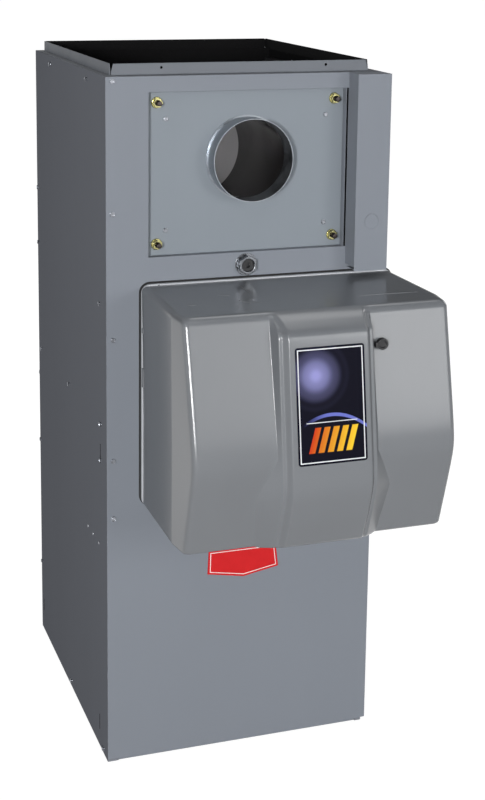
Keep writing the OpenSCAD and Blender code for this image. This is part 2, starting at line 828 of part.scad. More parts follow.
module oil_line() {
    px = -housing_w / 2 - pump_gap - 20;
    bend = 18;
    top = burner_z;
    z0 = fan_z + 44;
    color([0.75, 0.45, 0.28]) {
        translate([px, blower_d + 16, z0]) cylinder(r = line_r - 2, h = top - bend - z0);
        translate([px + bend, blower_d + 16, top - bend]) rotate([90, 0, 0]) rotate([0, 0, 90])
            rotate_extrude(angle = 90) translate([bend, 0]) circle(line_r - 2);
        translate([px + bend, blower_d + 16, top])
            cyl_x(line_r - 2, -housing_w / 2 - 14 - px - bend);
    }
}

module nozzle_line() {
    tip = front + tube_len - 22;
    color([0.78, 0.62, 0.34]) {
        translate([-housing_w / 2 - 14, line_y + 2, burner_z]) cyl_x(line_r, housing_w / 2 + 14);
        translate([-housing_w / 2 - 14, line_y + 2, burner_z])
            rotate([0, 90, 0]) cylinder(r = 8, h = 10, $fn = 6);
        translate([0, line_y - 4, burner_z]) cyl_y(line_r, tip - line_y + 4);
        translate([0, tip - 24, burner_z]) hex_y(16, 18);
        translate([0, tip - 6, burner_z]) rotate([-90, 0, 0]) cylinder(r1 = 7, r2 = 3, h = 8);
        difference() {
            slab([-22, tip - 60, burner_z + 4], [22, tip - 52, burner_z + 24]);
            for (s = [-1, 1]) translate([s * 13, tip - 62, burner_z + 15]) cyl_y(5.6, 14);
        }
    }
}

module electrodes() {
    tip = front + tube_len - 22;
    color([0.93, 0.92, 0.88]) for (s = [-1, 1]) translate([s * 13, 0, burner_z + 15]) {
        translate([0, line_y + 20, 0]) cyl_y(5.5, tip - line_y - 30);
        translate([0, line_y + 4, 0]) cyl_y(1.2, tip - line_y - 2);
    }
}

module retention_head() {
    y0 = front + tube_len - 14;
    color([0.62, 0.60, 0.58]) translate([0, y0, burner_z]) {
        difference() {
            cyl_y(tube_r - 1.7, 12);
            translate([0, -eps, 0]) cyl_y(tube_r - 4, 13);
        }
        difference() {
            translate([0, 4, 0]) cyl_y(tube_r - 3, 3);
            translate([0, 3, 0]) cyl_y(15, 5);
            for (a = [0:45:315]) rotate([0, a, 0]) translate([18, 3, -2.5]) rotate([0, 18, 0])
                cube([24, 5, 5]);
        }
    }
}

// Round shutter with air slots, between the housing's inlet and the pump
module air_shutter() {
    color([0.70, 0.71, 0.72]) translate([-housing_w / 2 - 2.5, blower_d, fan_z]) difference() {
        union() {
            cyl_x(inlet_bore + 6, 2);
            rotate([-60, 0, 0]) translate([0, -4, inlet_bore]) cube([2, 8, 22]);
        }
        translate([-eps, 0, 0]) cyl_x(15, 3);
        for (a = [0:45:315]) rotate([a, 0, 0]) translate([-eps, -6, 24]) cube([3, 12, 20]);
    }
}

module igniter() {
    w = housing_w + 6;
    depth = housing_front - housing_back;
    color(black) translate([-w / 2, housing_back, housing_top]) {
        cube([w, depth, 3]);
        translate([6, 8, 3]) cube([w - 12, depth - 20, 40]);
        for (s = [-1, 1]) translate([w / 2 + s * 20, depth / 2 + 20, -24]) cylinder(r = 7, h = 24);
    }
}

module primary_control() {
    color([0.35, 0.36, 0.38]) translate([control_x, blower_d, control_z]) {
        difference() {
            slab([0, -55, 0], [86, 45, 62]);
            slab([6, -55 - eps, 20], [80, -52, 56]);
            translate([43, -46, 10]) rotate([90, 0, 0]) cylinder(r = 6.3, h = 12);
        }
        // Raised foot that stands on the motor's terminal housing
        slab([-6, -28, -6], [60, 28, 0]);
    }
}

module reset_button() {
    color([0.80, 0.10, 0.08]) translate([control_x + 43, blower_d - 55, control_z + 10]) {
        translate([0, 5.5, 0]) rotate([90, 0, 0]) cylinder(r = 5.9, h = 10.8);
    }
}

module cover_bracket() {
    reach = bracket_reach;
    color(galv) difference() {
        union() {
            slab([knob_x - 15, front - 2, knob_z - 30], [knob_x + 15, front, knob_z + 30]);
            slab([knob_x + 13, front - reach, knob_z - 18], [knob_x + 15, front, knob_z + 18]);
            slab([knob_x - 15, front - reach, knob_z - 18],
                 [knob_x + 15, front - reach + 3, knob_z + 18]);
        }
        translate([knob_x, front - reach - eps, knob_z]) cyl_y(knob_stud_r + run_gap, 5);
    }
}

// Moulded cover: a stack of plan outlines whose depth and width follow the height

function soft_min(a, b, s) = (a + b - sqrt((a - b) * (a - b) + s * s)) / 2;

// Depth of the side bays at height z: a long slope out to a soft bulge, then back in
function bay_depth(z) = soft_min(
    cover_d + 6 + (bulge_z - z) * 0.248, cover_d + 6 + (z - bulge_z) * 0.328, 12);

// Depth of the centre panel at height z: a steep brow, a long face and a return under its crest
function panel_depth(z) = max(bay_depth(z) + 3 * crown, soft_min(
    bay_depth(cover_top) + (cover_top - z) * 1.52,
    soft_min(cover_d + panel_rise + 3 + (crest_z - z) * 0.151,
             cover_d + panel_rise + 3 + (z - crest_z) * 0.346, 8), 5));

// Half width of the panel's flat face; it narrows down the brow
function face_hw(z) = z > cover_top - brow_h ? panel_hw - 20 + (z - cover_top + brow_h) * 0.4
    : panel_hw - 16;

// Half width of the panel's foot; below the bulge it flares into a scoop
function foot_hw(z) = panel_hw + 4.5 + (z > bulge_z + 5 ? 0
    : z > scoop_z ? (bulge_z + 5 - z) * 0.45 : 31.5 - (scoop_z - z) * 0.1);

// Half of the outline at height z, from the centre panel round to the back, as [x, depth].
// side_in and front_in draw it in where edges roll over; t is the wall that is left outside it.
function half_plan(z, side_in, front_in, t) =
    let(
        c = panel_depth(z) - front_in - t,
        b = bay_depth(z) - front_in - t,
        s = max(b + 2 * crown, c - panel_step),
        f = face_hw(z) - t,
        h = panel_hw - t,
        side = cover_hw - 3 + max(0, z - bulge_z) * 0.01 - side_in - t
    )
    [
        [f, c], [f + 3.5, max(c - 1.5, s + 0.6 * crown)], [f + 7.5, s + 0.3 * crown],
        [max(f + 8, h - 2), s], [h + 1.5, max(s - 2, b + 1.5 * crown)], [foot_hw(z) - t, b + crown],
        for (a = [0:30:90]) [side - cover_edge_r * (1 - sin(a)), b - cover_edge_r * (1 - cos(a))],
        [side + 6.5, crease_d], [side + 3, 0]
    ];

function plan(z, side_in, front_in, t) =
    let(h = half_plan(z, side_in, front_in, t), n = len(h))
    [for (i = [n - 1:-1:0]) [-h[i][0], h[i][1]], for (i = [0:n - 1]) h[i]];

// How far an edge of radius r has rolled in at distance d from its face
function roll(r, d) = d >= r ? 0 : r - sqrt(r * r - (r - d) * (r - d));

// Rise of the floor at depth d: nearly level, then up under the centre panel
function floor_rise(d) = 0.006 * d + 0.26 * max(0, d - 262);

station_z = [
    for (d = [0, 2, 8, 28, 55]) cover_bottom + d,
    scoop_z - 20, scoop_z, crest_z, bulge_z - 20, bulge_z + 5, bulge_z + 25, bulge_z + 60,
    bulge_z + 110, bulge_z + 160,
    for (d = [42, brow_h, 24, 20, 15, 10, 6, 3, 0.8, 0]) cover_top - d
];

// Closed shape inside the cover's outer face by t, with its back at y_back
module cover_shape(t, y_back) {
    squeeze = 1 - 2 * t / (cover_top - cover_bottom);
    rings = [for (z = station_z)
        let(
            up = cover_top - z,
            dn = z - cover_bottom,
            side_in = roll(16, up) + roll(7, dn),
            front_in = roll(20, up) + roll(8, dn),
            fade = max(0, 1 - dn / 60)
        )
        [for (p = plan(z, side_in, front_in, t))
            [p[0], p[1] == 0 ? y_back : -p[1],
             cover_bottom + t + dn * squeeze + fade * floor_rise(p[1])]]];
    n = len(rings[0]);
    m = len(rings);
    // The floor isn't flat, so it is made of strips from side to side
    faces = [
        for (i = [0:n / 2 - 2]) [i, i + 1, n - 2 - i, n - 1 - i],
        [for (i = [n - 1:-1:0]) (m - 1) * n + i],
        for (k = [0:m - 2], i = [0:n - 1])
            let(a = k * n + i, b = k * n + (i + 1) % n)
            each [[a, a + n, b + n], [a, b + n, b]]
    ];
    polyhedron([for (ring = rings) each ring], faces);
}

// Frame round the cover's open back, grown by g at its sides and top, depth deep to the front
module cover_frame(g, inner, depth) {
    low = min(g, rim_w);
    h = cover_top - cover_bottom;
    rotate([90, 0, 0]) linear_extrude(depth) difference() {
        translate([-cover_hw - g, cover_bottom - low])
            round_rect(2 * (cover_hw + g), h + g + low, rim_r + g);
        translate([-cover_hw + inner, cover_bottom + inner])
            round_rect(2 * (cover_hw - inner), h - 2 * inner, rim_r - inner);
    }
}

module burner_cover() {
    slot_gap = 26;
    color(plastic) translate([cover_x, cover_y, 0]) difference() {
        union() {
            difference() {
                cover_shape(0, 0);
                cover_shape(cover_wall, 1);
            }
            cover_frame(rim_w, cover_wall, rim_d);
        }
        // Combustion air slots in the floor
        for (k = [-7:7]) translate([k * slot_gap - 3, -190, cover_bottom - 5]) cube([6, 110, 22]);
        translate([knob_dx, 0, knob_z]) rotate([90, 0, 0])
            cylinder(r = knob_stud_r + 0.5, h = cover_d, $fn = 24);
    }
}

module cover_gasket() {
    color(black) translate([cover_x, front, 0]) cover_frame(rim_w + 3, cover_wall, seal_t);
}

// Captive knob with a finger tab; its long stud goes through the cover and the bracket
module cover_knob() {
    body_r = 10.3;
    body_h = 9;
    neck_h = 3;
    tab_x = -12.2;
    tab_r = 3;
    stud = front - bracket_reach + 6 - knob_y;
    color(black) translate([knob_x, knob_y, knob_z]) {
        cyl_y(knob_stud_r, stud);
        translate([0, -neck_h, 0]) cyl_y(knob_neck_r, neck_h);
        difference() {
            translate([0, -neck_h - body_h, 0]) cyl_y(body_r, body_h);
            translate([0, -neck_h - body_h - eps, 0]) cyl_y(5, 3);
        }
        for (s = [-1, 1]) translate([tab_x, -neck_h - body_h - 3, s * 2.2]) cyl_y(tab_r, 9);
        slab([tab_x - tab_r, -neck_h - body_h - 3, -2.2],
             [tab_x + tab_r, 6 - neck_h - body_h, 2.2]);
        slab([tab_x, -neck_h - body_h + 2, -2], [0, -neck_h - body_h + 6, 2]);
    }
}

module badge_plate() {
    w = 140;
    drop = 13;
    z0 = 357;
    h = 46;
    color([0.75, 0.10, 0.10]) translate([0, front, z0]) rotate([90, 0, 0]) linear_extrude(1.5)
        polygon([[-w / 2, 0], [3, -drop], [w / 2 + 4, 0], [w / 2 - 2, h], [-w / 2 + 2, h]]);
}

// Main blower

function scroll_r(a) =
    scroll_r0 + (scroll_r1 - scroll_r0) * (a - scroll_from) / (360 - scroll_from);
function scroll_x0() = scroll_r0 * cos(scroll_from);
function scroll_x1() = scroll_r1;

// Scroll outline in the YZ plane about the shaft, grown by g, with its throat up to height top
function scroll_outline(g, top) = concat(
    [[scroll_x0() - g, top]],
    [for (a = [scroll_from:10:360]) (scroll_r(a) + g) * [cos(a), sin(a)]],
    [[scroll_r1 + g, top]]);

module scroll_slab(w, g, top) {
    rotate([90, 0, 90]) translate([blower_y, blower_z, -w / 2]) linear_extrude(w)
        polygon(scroll_outline(g, top));
}

module blower_housing() {
    top = scroll_top - blower_z;
    color(galv) {
        difference() {
            scroll_slab(scroll_w, scroll_t, top);
            scroll_slab(scroll_w - 2 * scroll_t, 0, top + 1);
            translate([-scroll_w, blower_y, blower_z]) cyl_x(inlet_r, 2 * scroll_w);
        }
        for (s = [-1, 1]) translate([s < 0 ? -scroll_w / 2 - 8 : scroll_w / 2, blower_y, blower_z])
            difference() {
                cyl_x(inlet_r + 2, 8);
                translate([-eps, 0, 0]) cyl_x(inlet_r, 8 + 2 * eps);
            }
        // Flanges at the throat, which slide on the rails
        for (s = [-1, 1]) translate([0, 0, scroll_top - 1.5])
            slab([s < 0 ? -scroll_w / 2 - 18 : scroll_w / 2, blower_y + scroll_x0() + 10, 0],
                 [s < 0 ? -scroll_w / 2 : scroll_w / 2 + 18, blower_y + scroll_x1() - 10, 1.5]);
    }
}

module blade(len) {
    linear_extrude(len) polygon([
        [wheel_r - 14, 0], [wheel_r - 9, 1.6], [wheel_r - 4, 5], [wheel_r - 1, 10],
        [wheel_r - 2, 10.6], [wheel_r - 5, 6], [wheel_r - 10, 2.6], [wheel_r - 14, 1.2]]);
}

module blower_wheel() {
    color(galv) translate([-wheel_w / 2, blower_y, blower_z]) {
        for (x = [0, wheel_w - 5]) translate([x, 0, 0]) difference() {
            cyl_x(wheel_r, 5);
            translate([-eps, 0, 0]) cyl_x(wheel_r - 14, 6);
        }
        rotate([0, 90, 0]) for (k = [0:wheel_blades - 1]) rotate(k * 360 / wheel_blades)
            translate([0, 0, 2]) blade(wheel_w - 4);
        translate([hub_x, 0, 0]) {
            cyl_x(wheel_r - 12, 2);
            translate([-22, 0, 0]) cyl_x(18, 24);
        }
        // Shaft, fixed in the hub
        translate([hub_x - 40, 0, 0]) cyl_x(blower_shaft_r, 100);
    }
}

module blower_motor() {
    color(black) translate([blower_motor_x, blower_y, blower_z]) difference() {
        union() {
            translate([10, 0, 0]) cyl_x(blower_motor_r, blower_motor_len - 20);
            cyl_x(blower_motor_r - 10, blower_motor_len);
        }
        translate([-eps, 0, 0]) cyl_x(blower_shaft_r + run_gap, 60);
    }
}

// Band round the motor with three arms out to the inlet ring
module motor_arms() {
    x0 = scroll_w / 2 + 8;
    band_x = blower_motor_x + blower_motor_len - 34;
    color(galv) translate([0, blower_y, blower_z]) {
        translate([band_x, 0, 0]) difference() {
            cyl_x(blower_motor_r + 2.2, 20);
            translate([-eps, 0, 0]) cyl_x(blower_motor_r + seat, 21);
        }
        for (a = [90, 210, 330]) rotate([a - 90, 0, 0]) {
            slab([band_x, -6, blower_motor_r + 1], [x0 + 3, 6, blower_motor_r + 4]);
            slab([x0, -6, blower_motor_r + 1], [x0 + 3, 6, inlet_r + 14]);
        }
    }
}

module blower_rails() {
    x0 = scroll_w / 2 + 19;
    color(galv) for (s = [-1, 1]) {
        slab([s < 0 ? -x0 - 2 : x0, -back + 60, deck_z - 14],
             [s < 0 ? -x0 : x0 + 2, back - 30, deck_z]);
        slab([s < 0 ? -x0 : x0 - 15, -back + 60, scroll_top - 3.5],
             [s < 0 ? -x0 + 15 : x0, back - 30, scroll_top - 1.5]);
    }
}

module control_board() {
    color([0.10, 0.32, 0.20]) translate([-hw + sheet, board_y, board_z]) {
        slab([6, 0, 0], [8, 150, 110]);
        for (y = [8, 142], z = [8, 102]) translate([0, y, z]) cyl_x(3, 7);
        slab([8, 20, 20], [24, 48, 42]);
        slab([8, 60, 20], [24, 88, 42]);
        slab([8, 100, 60], [18, 130, 90]);
        translate([8, 30, 78]) cyl_x(7, 16);
    }
}

module transformer() {
    color([0.30, 0.30, 0.32]) translate([-hw + sheet, board_y + 180, board_z + 10]) {
        slab([0, -14, 0], [2, 84, 62]);
        slab([2, 0, 0], [46, 70, 62]);
        slab([8, 14, -8], [40, 56, 70]);
    }
}

module door_switch() {
    color(black) translate([-hw + 60, back - sheet - 46, deck_z - 60]) difference() {
        union() {
            slab([-12, 0, 0], [12, 26, 46]);
            slab([-14, 8, 46], [14, 18, 60]);
        }
        translate([0, 14, 24]) cyl_y(4.2, 20);
    }
}

module switch_plunger() {
    color([0.85, 0.85, 0.85]) translate([-hw + 60, back - sheet - 46, deck_z - 36])
        translate([0, 18.5, 0]) cyl_y(4.1, 46 - 18.5 - 0.3);
}

base_pan();
left_side_panel();
right_side_panel();
front_panel();
rear_panel();
top_plate();
divider_deck();
side_insulation();
blower_door();
door_pull();
door_screw_left();
door_screw_right();
cabinet_screws();
flue_plate();
flue_gasket();
flue_collar();
flue_studs();
flue_nuts();
flue_drum();
flue_drum_end();
crossover_neck();
primary_drum();
refractory_liner();
drum_cradle();
observation_tube();
port_bushing();
port_plug();
wiring_box();
knockout();
terminal_block();
limit_switch();
burner_gasket();
burner_flange();
air_tube();
nozzle_line();
electrodes();
retention_head();
burner_housing();
burner_wheel();
burner_motor();
fuel_pump();
oil_line();
air_shutter();
igniter();
primary_control();
reset_button();
cover_bracket();
burner_cover();
cover_gasket();
cover_knob();
badge_plate();
blower_housing();
blower_wheel();
blower_motor();
motor_arms();
blower_rails();
control_board();
transformer();
door_switch();
switch_plunger();
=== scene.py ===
"""Looks of an upright oil-fired warm-air furnace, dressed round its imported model."""

import logging
import math
from dataclasses import dataclass, field
from enum import Enum
from typing import Any, Callable, Iterable, Optional, Sequence, Union

import bmesh
import bpy
import numpy as np
from mathutils import Matrix, Vector


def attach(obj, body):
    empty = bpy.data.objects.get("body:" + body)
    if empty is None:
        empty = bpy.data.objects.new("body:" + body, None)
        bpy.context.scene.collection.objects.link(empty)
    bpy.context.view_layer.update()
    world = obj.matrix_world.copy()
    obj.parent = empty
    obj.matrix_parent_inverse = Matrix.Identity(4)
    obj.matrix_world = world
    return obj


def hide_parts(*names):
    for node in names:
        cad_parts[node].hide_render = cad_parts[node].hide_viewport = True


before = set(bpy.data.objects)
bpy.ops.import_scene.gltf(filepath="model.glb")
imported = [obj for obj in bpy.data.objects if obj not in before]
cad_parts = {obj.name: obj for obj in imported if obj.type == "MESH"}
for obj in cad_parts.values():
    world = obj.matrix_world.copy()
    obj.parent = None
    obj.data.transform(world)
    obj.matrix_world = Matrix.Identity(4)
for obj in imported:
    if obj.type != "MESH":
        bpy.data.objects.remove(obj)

LOG = logging.getLogger("furnace")
MM = 0.001
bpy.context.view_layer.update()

Point = tuple[float, float, float]
Flat = tuple[float, float]
Colour = tuple[float, float, float]


def srgb(red: int, green: int, blue: int) -> Colour:
    """Linear colour of an 8-bit one.

    Args:
        red: Red, 0 to 255.
        green: Green, 0 to 255.
        blue: Blue, 0 to 255.

    Returns:
        The three linear channels.
    """
    def channel(value: int) -> float:
        """Linear value of one channel."""
        part = value / 255
        return part / 12.92 if part <= 0.04045 else ((part + 0.055) / 1.055) ** 2.4

    return channel(red), channel(green), channel(blue)


def scaled(colour: Colour, share: float) -> Colour:
    """The colour, darker or lighter by a share, within white."""
    return tuple(min(1.0, c * share) for c in colour)


# Shader maths


class Cell(Enum):
    """What a pattern of cells gives."""

    GREY = "Color"
    DISTANCE = "Distance"


class Value:
    """A number that varies over a surface; Python arithmetic on it adds Math nodes."""

    def __init__(self, shader: "Shader", socket: bpy.types.NodeSocket) -> None:
        """Wraps one output socket of the shader's tree."""
        self.shader = shader
        self.socket = socket

    def maths(self, operation: str, *others: Any) -> "Value":
        """Result of a Math node whose first input is this value."""
        return self.shader.maths(operation, self, *others)

    def __add__(self, other: Any) -> "Value":
        """Sum."""
        return self.maths("ADD", other)

    __radd__ = __add__

    def __sub__(self, other: Any) -> "Value":
        """Difference."""
        return self.maths("SUBTRACT", other)

    def __rsub__(self, other: Any) -> "Value":
        """Difference from a number."""
        return self.shader.maths("SUBTRACT", other, self)

    def __mul__(self, other: Any) -> "Value":
        """Product."""
        return self.maths("MULTIPLY", other)

    __rmul__ = __mul__

    def __truediv__(self, other: Any) -> "Value":
        """Quotient."""
        return self.maths("DIVIDE", other)

    def __pow__(self, other: Any) -> "Value":
        """Power."""
        return self.maths("POWER", other)

    def size(self) -> "Value":
        """Absolute value."""
        return self.maths("ABSOLUTE")

    def least(self, other: Any) -> "Value":
        """The smaller of two."""
        return self.maths("MINIMUM", other)

    def most(self, other: Any) -> "Value":
        """The larger of two."""
        return self.maths("MAXIMUM", other)

    def step(self, low: float, high: float) -> "Value":
        """Smooth step.

        Args:
            low: Where it is 0.
            high: Where it is 1; it may be the smaller number.

        Returns:
            A value from 0 to 1.
        """
        node = self.shader.node(
            "ShaderNodeMapRange", {"interpolation_type": "SMOOTHSTEP"},
            {"Value": self, "From Min": low, "From Max": high})
        return Value(self.shader, node.outputs["Result"])


class Shader:
    """A node material under construction."""

    def __init__(self, name: str) -> None:
        """Makes a node material with a Principled shader.

        Args:
            name: The material's name.
        """
        self.material = bpy.data.materials.new(name)
        self.material.use_nodes = True
        self.tree = self.material.node_tree
        self.skin = self.tree.nodes["Principled BSDF"]

    def node(self, kind: str, settings: Optional[dict[str, Any]] = None,
             inputs: Optional[dict[Any, Any]] = None) -> bpy.types.Node:
        """Adds a node.

        Args:
            kind: Its type.
            settings: Its own settings, set first.
            inputs: Numbers, values or sockets for its inputs, by name or index.

        Returns:
            The node.
        """
        made = self.tree.nodes.new(kind)
        for key, value in (settings or {}).items():
            setattr(made, key, value)
        for key, value in (inputs or {}).items():
            self.feed(made.inputs[key], value)
        return made

    def feed(self, socket: bpy.types.NodeSocket, value: Any) -> None:
        """Sets an input to a number or a colour, or links it to a value or socket.

        Args:
            socket: The input.
            value: What it gets.
        """
        if isinstance(value, Value):
            self.tree.links.new(value.socket, socket)
        elif isinstance(value, bpy.types.NodeSocket):
            self.tree.links.new(value, socket)
        elif isinstance(socket, bpy.types.NodeSocketColor):
            socket.default_value = (*value, 1.0)[:4]
        else:
            socket.default_value = value

    def maths(self, operation: str, *values: Any) -> Value:
        """A Math node on numbers and values.

        Args:
            operation: The node's operation.
            values: Numbers or values for its inputs, in order.

        Returns:
            The wrapped result.
        """
        node = self.node("ShaderNodeMath", {"operation": operation})
        for socket, value in zip(node.inputs, values):
            self.feed(socket, value)
        return Value(self, node.outputs[0])

    def place(self, scale: Point = (1, 1, 1), uv: bool = False) -> bpy.types.NodeSocket:
        """Coordinates of the piece, in metres or as its UV map.

        Args:
            scale: Scale along each axis.
            uv: Whether the UV map is read.

        Returns:
            The socket of the mapped coordinates.
        """
        source = self.node("ShaderNodeTexCoord").outputs["UV" if uv else "Object"]
        mapping = self.node("ShaderNodeMapping", None, {"Vector": source, "Scale": scale})
        return mapping.outputs["Vector"]

    def axes(self, vector: bpy.types.NodeSocket) -> tuple[Value, Value, Value]:
        """The three parts of a vector."""
        node = self.node("ShaderNodeSeparateXYZ", None, {"Vector": vector})
        return tuple(Value(self, node.outputs[i]) for i in range(3))

    def noise(self, scale: float, detail: float = 3.0, rough: float = 0.5,
              stretch: Point = (1, 1, 1)) -> Value:
        """Noise on the piece's own coordinates.

        Args:
            scale: Waves to a metre.
            detail: Octaves.
            rough: Weight of the finer octaves.
            stretch: Scale along each axis.

        Returns:
            A value round 0.5.
        """
        node = self.node("ShaderNodeTexNoise", None, {
            "Vector": self.place(stretch), "Scale": scale, "Detail": detail,
            "Roughness": rough})
        return Value(self, node.outputs["Fac"])

    def cells(self, scale: float, gives: Cell = Cell.GREY,
              stretch: Point = (1, 1, 1)) -> Value:
        """Voronoi cells on the piece's own coordinates.

        Args:
            scale: Cells to a metre.
            gives: One grey for each cell, or the distance to its point.
            stretch: Scale along each axis.

        Returns:
            A value for each point.
        """
        node = self.node("ShaderNodeTexVoronoi", None, {
            "Vector": self.place(stretch), "Scale": scale})
        output = node.outputs[gives.value]
        if gives is Cell.GREY:
            output = self.node("ShaderNodeSeparateColor", None, {"Color": output}).outputs[0]
        return Value(self, output)

    def blend(self, mask: Union[Value, float], under: Any, over: Any) -> bpy.types.NodeSocket:
        """Mixes two colours.

        Args:
            mask: Share of the second.
            under: First colour, or a socket.
            over: Second colour, or a socket.

        Returns:
            The socket of the mixed colour.
        """
        node = self.node("ShaderNodeMix", {"data_type": "RGBA"})
        self.feed(node.inputs[0], mask)
        self.feed(node.inputs[6], under)
        self.feed(node.inputs[7], over)
        return node.outputs[2]

    def shade(self, colour: Colour, amount: Value, depth: float) -> bpy.types.NodeSocket:
        """A colour that gets darker and lighter.

        Args:
            colour: The mean colour.
            amount: Value round 0.5.
            depth: Share by which the colour may fall or rise.

        Returns:
            The socket of the varied colour.
        """
        return self.blend(amount, scaled(colour, 1 - depth), scaled(colour, 1 + depth))

    def bumps(self, *layers: tuple[Value, float, float]) -> bpy.types.NodeSocket:
        """Stacks bump nodes.

        Args:
            layers: Height, strength and distance in metres of each.

        Returns:
            The socket of the bent normal.
        """
        normal = None
        for height, strength, distance in layers:
            node = self.node("ShaderNodeBump", None, {
                "Height": height, "Strength": strength, "Distance": distance})
            if normal is not None:
                self.feed(node.inputs["Normal"], normal)
            normal = node.outputs["Normal"]
        return normal

    def set(self, **inputs: Any) -> bpy.types.Material:
        """Sets inputs of the Principled shader.

        Args:
            inputs: What each input gets, by its name with _ for a space.

        Returns:
            The material.
        """
        for key, value in inputs.items():
            self.feed(self.skin.inputs[key.replace("_", " ")], value)
        return self.material


# Finishes


@dataclass(frozen=True)
class PaintedSteel:
    """Sprayed enamel on sheet steel, with orange peel, faint dust and slightly wavy sheet."""

    colour: Colour
    roughness: float = 0.50
    peel: float = 0.10
    wave: float = 0.25
    dust: float = 0.05
    gloss: float = 0.14

    def build(self, name: str) -> bpy.types.Material:
        """Material of the enamel.

        Args:
            name: The material's name.

        Returns:
            The material.
        """
        s = Shader(name)
        drift = s.noise(2.2, 2.0, 0.5, (1, 1, 0.5))
        streak = s.noise(9.0, 4.0, 0.6, (1, 1, 0.12))
        speck = s.noise(420.0, 2.0, 0.6).step(0.68, 0.78)
        tone = drift * 0.6 + streak * 0.4
        base = s.shade(self.colour, tone, self.dust)
        base = s.blend(speck * 0.10, base, scaled(self.colour, 0.6))
        wipe = s.noise(14.0, 5.0, 0.65).step(0.42, 0.72)
        return s.set(
            Base_Color=base, Roughness=wipe * 0.10 + (self.roughness - 0.04),
            Specular_IOR_Level=self.gloss,
            Normal=s.bumps((drift, self.wave, 0.004), (s.noise(620.0, 2.0), self.peel, 0.0003)))


@dataclass(frozen=True)
class Galvanised:
    """Zinc-coated steel with spangles and a dull film."""

    colour: Colour = srgb(188, 192, 196)
    roughness: float = 0.40
    spangle: float = 95.0
    film: float = 0.35

    def build(self, name: str) -> bpy.types.Material:
        """Material of the zinc coat.

        Args:
            name: The material's name.

        Returns:
            The material.
        """
        s = Shader(name)
        flake = s.cells(self.spangle)
        film = s.noise(11.0, 5.0, 0.6).step(0.35, 0.75)
        base = s.shade(self.colour, flake, 0.14)
        base = s.blend(film * self.film, base, scaled(self.colour, 0.72))
        return s.set(
            Base_Color=base, Metallic=1.0 - film * 0.35,
            Roughness=flake * 0.16 + film * 0.12 + (self.roughness - 0.1),
            Normal=s.bumps((s.noise(240.0, 3.0), 0.08, 0.0004)))


@dataclass(frozen=True)
class BareMetal:
    """Turned, drawn or cast metal with fine marks and some tarnish."""

    colour: Colour
    roughness: float = 0.3
    marks: Point = (1, 1, 1)
    mark_scale: float = 600.0
    tarnish: float = 0.3
    depth: float = 0.12

    def build(self, name: str) -> bpy.types.Material:
        """Material of the metal.

        Args:
            name: The material's name.

        Returns:
            The material.
        """
        s = Shader(name)
        line = s.noise(self.mark_scale, 3.0, 0.6, self.marks)
        dull = s.noise(26.0, 4.0, 0.6).step(0.4, 0.75)
        base = s.blend(dull * self.tarnish, s.shade(self.colour, line, 0.08),
                       scaled(self.colour, 0.5))
        return s.set(
            Base_Color=base, Metallic=1.0, Roughness=dull * 0.18 + line * 0.08 + self.roughness,
            Normal=s.bumps((line, self.depth, 0.0003)))


@dataclass(frozen=True)
class Moulded:
    """Moulded plastic with a fine grain, flow marks and handling marks."""

    colour: Colour
    roughness: float = 0.36
    grain: float = 0.12
    grain_scale: float = 900.0
    flow: float = 0.06

    def build(self, name: str) -> bpy.types.Material:
        """Material of the plastic.

        Args:
            name: The material's name.

        Returns:
            The material.
        """
        s = Shader(name)
        flow = s.noise(7.0, 3.0, 0.5, (1, 1, 0.45))
        rub = s.noise(30.0, 4.0, 0.6, (1, 1, 0.3)).step(0.55, 0.9)
        base = s.blend(rub * 0.06, s.shade(self.colour, flow, self.flow),
                       scaled(self.colour, 1.15))
        return s.set(
            Base_Color=base, Roughness=flow * 0.04 + rub * 0.02 + (self.roughness - 0.03),
            Normal=s.bumps((flow, 0.2, 0.002),
                           (s.noise(self.grain_scale, 2.0), self.grain, 0.0003)))


@dataclass(frozen=True)
class SoftBlack:
    """Foam rubber: matte, with open pores."""

    colour: Colour = srgb(30, 30, 31)

    def build(self, name: str) -> bpy.types.Material:
        """Material of the foam.

        Args:
            name: The material's name.

        Returns:
            The material.
        """
        s = Shader(name)
        pore = s.cells(900.0, Cell.DISTANCE)
        return s.set(
            Base_Color=s.shade(self.colour, s.noise(60.0), 0.25), Roughness=0.85,
            Normal=s.bumps((pore, 0.5, 0.0008)))


@dataclass(frozen=True)
class Fibre:
    """Pressed ceramic or glass fibre: matte and matted."""

    colour: Colour
    scorch: float = 0.2

    def build(self, name: str) -> bpy.types.Material:
        """Material of the fibre.

        Args:
            name: The material's name.

        Returns:
            The material.
        """
        s = Shader(name)
        mat = s.noise(260.0, 6.0, 0.7, (1, 0.35, 1))
        burn = s.noise(9.0, 4.0, 0.6).step(0.5, 0.8)
        base = s.blend(burn * self.scorch, s.shade(self.colour, mat, 0.2),
                       scaled(self.colour, 0.45))
        return s.set(Base_Color=base, Roughness=0.92, Specular_IOR_Level=0.12,
                     Normal=s.bumps((mat, 0.6, 0.0012)))


@dataclass(frozen=True)
class Enamel:
    """Glossy enamel or glaze, with a clear coat of a strength that varies a little."""

    colour: Colour
    roughness: float = 0.25
    coat: float = 0.5
    gloss: float = 0.5

    def build(self, name: str) -> bpy.types.Material:
        """Material of the enamel.

        Args:
            name: The material's name.

        Returns:
            The material.
        """
        s = Shader(name)
        cloud = s.noise(45.0, 4.0, 0.6)
        return s.set(
            Base_Color=s.shade(self.colour, cloud, 0.10), Roughness=cloud * 0.10 + self.roughness,
            Coat_Weight=cloud * 0.2 + self.coat, Coat_Roughness=0.12,
            Specular_IOR_Level=self.gloss,
            Normal=s.bumps((s.noise(500.0, 2.0), 0.05, 0.0003)))


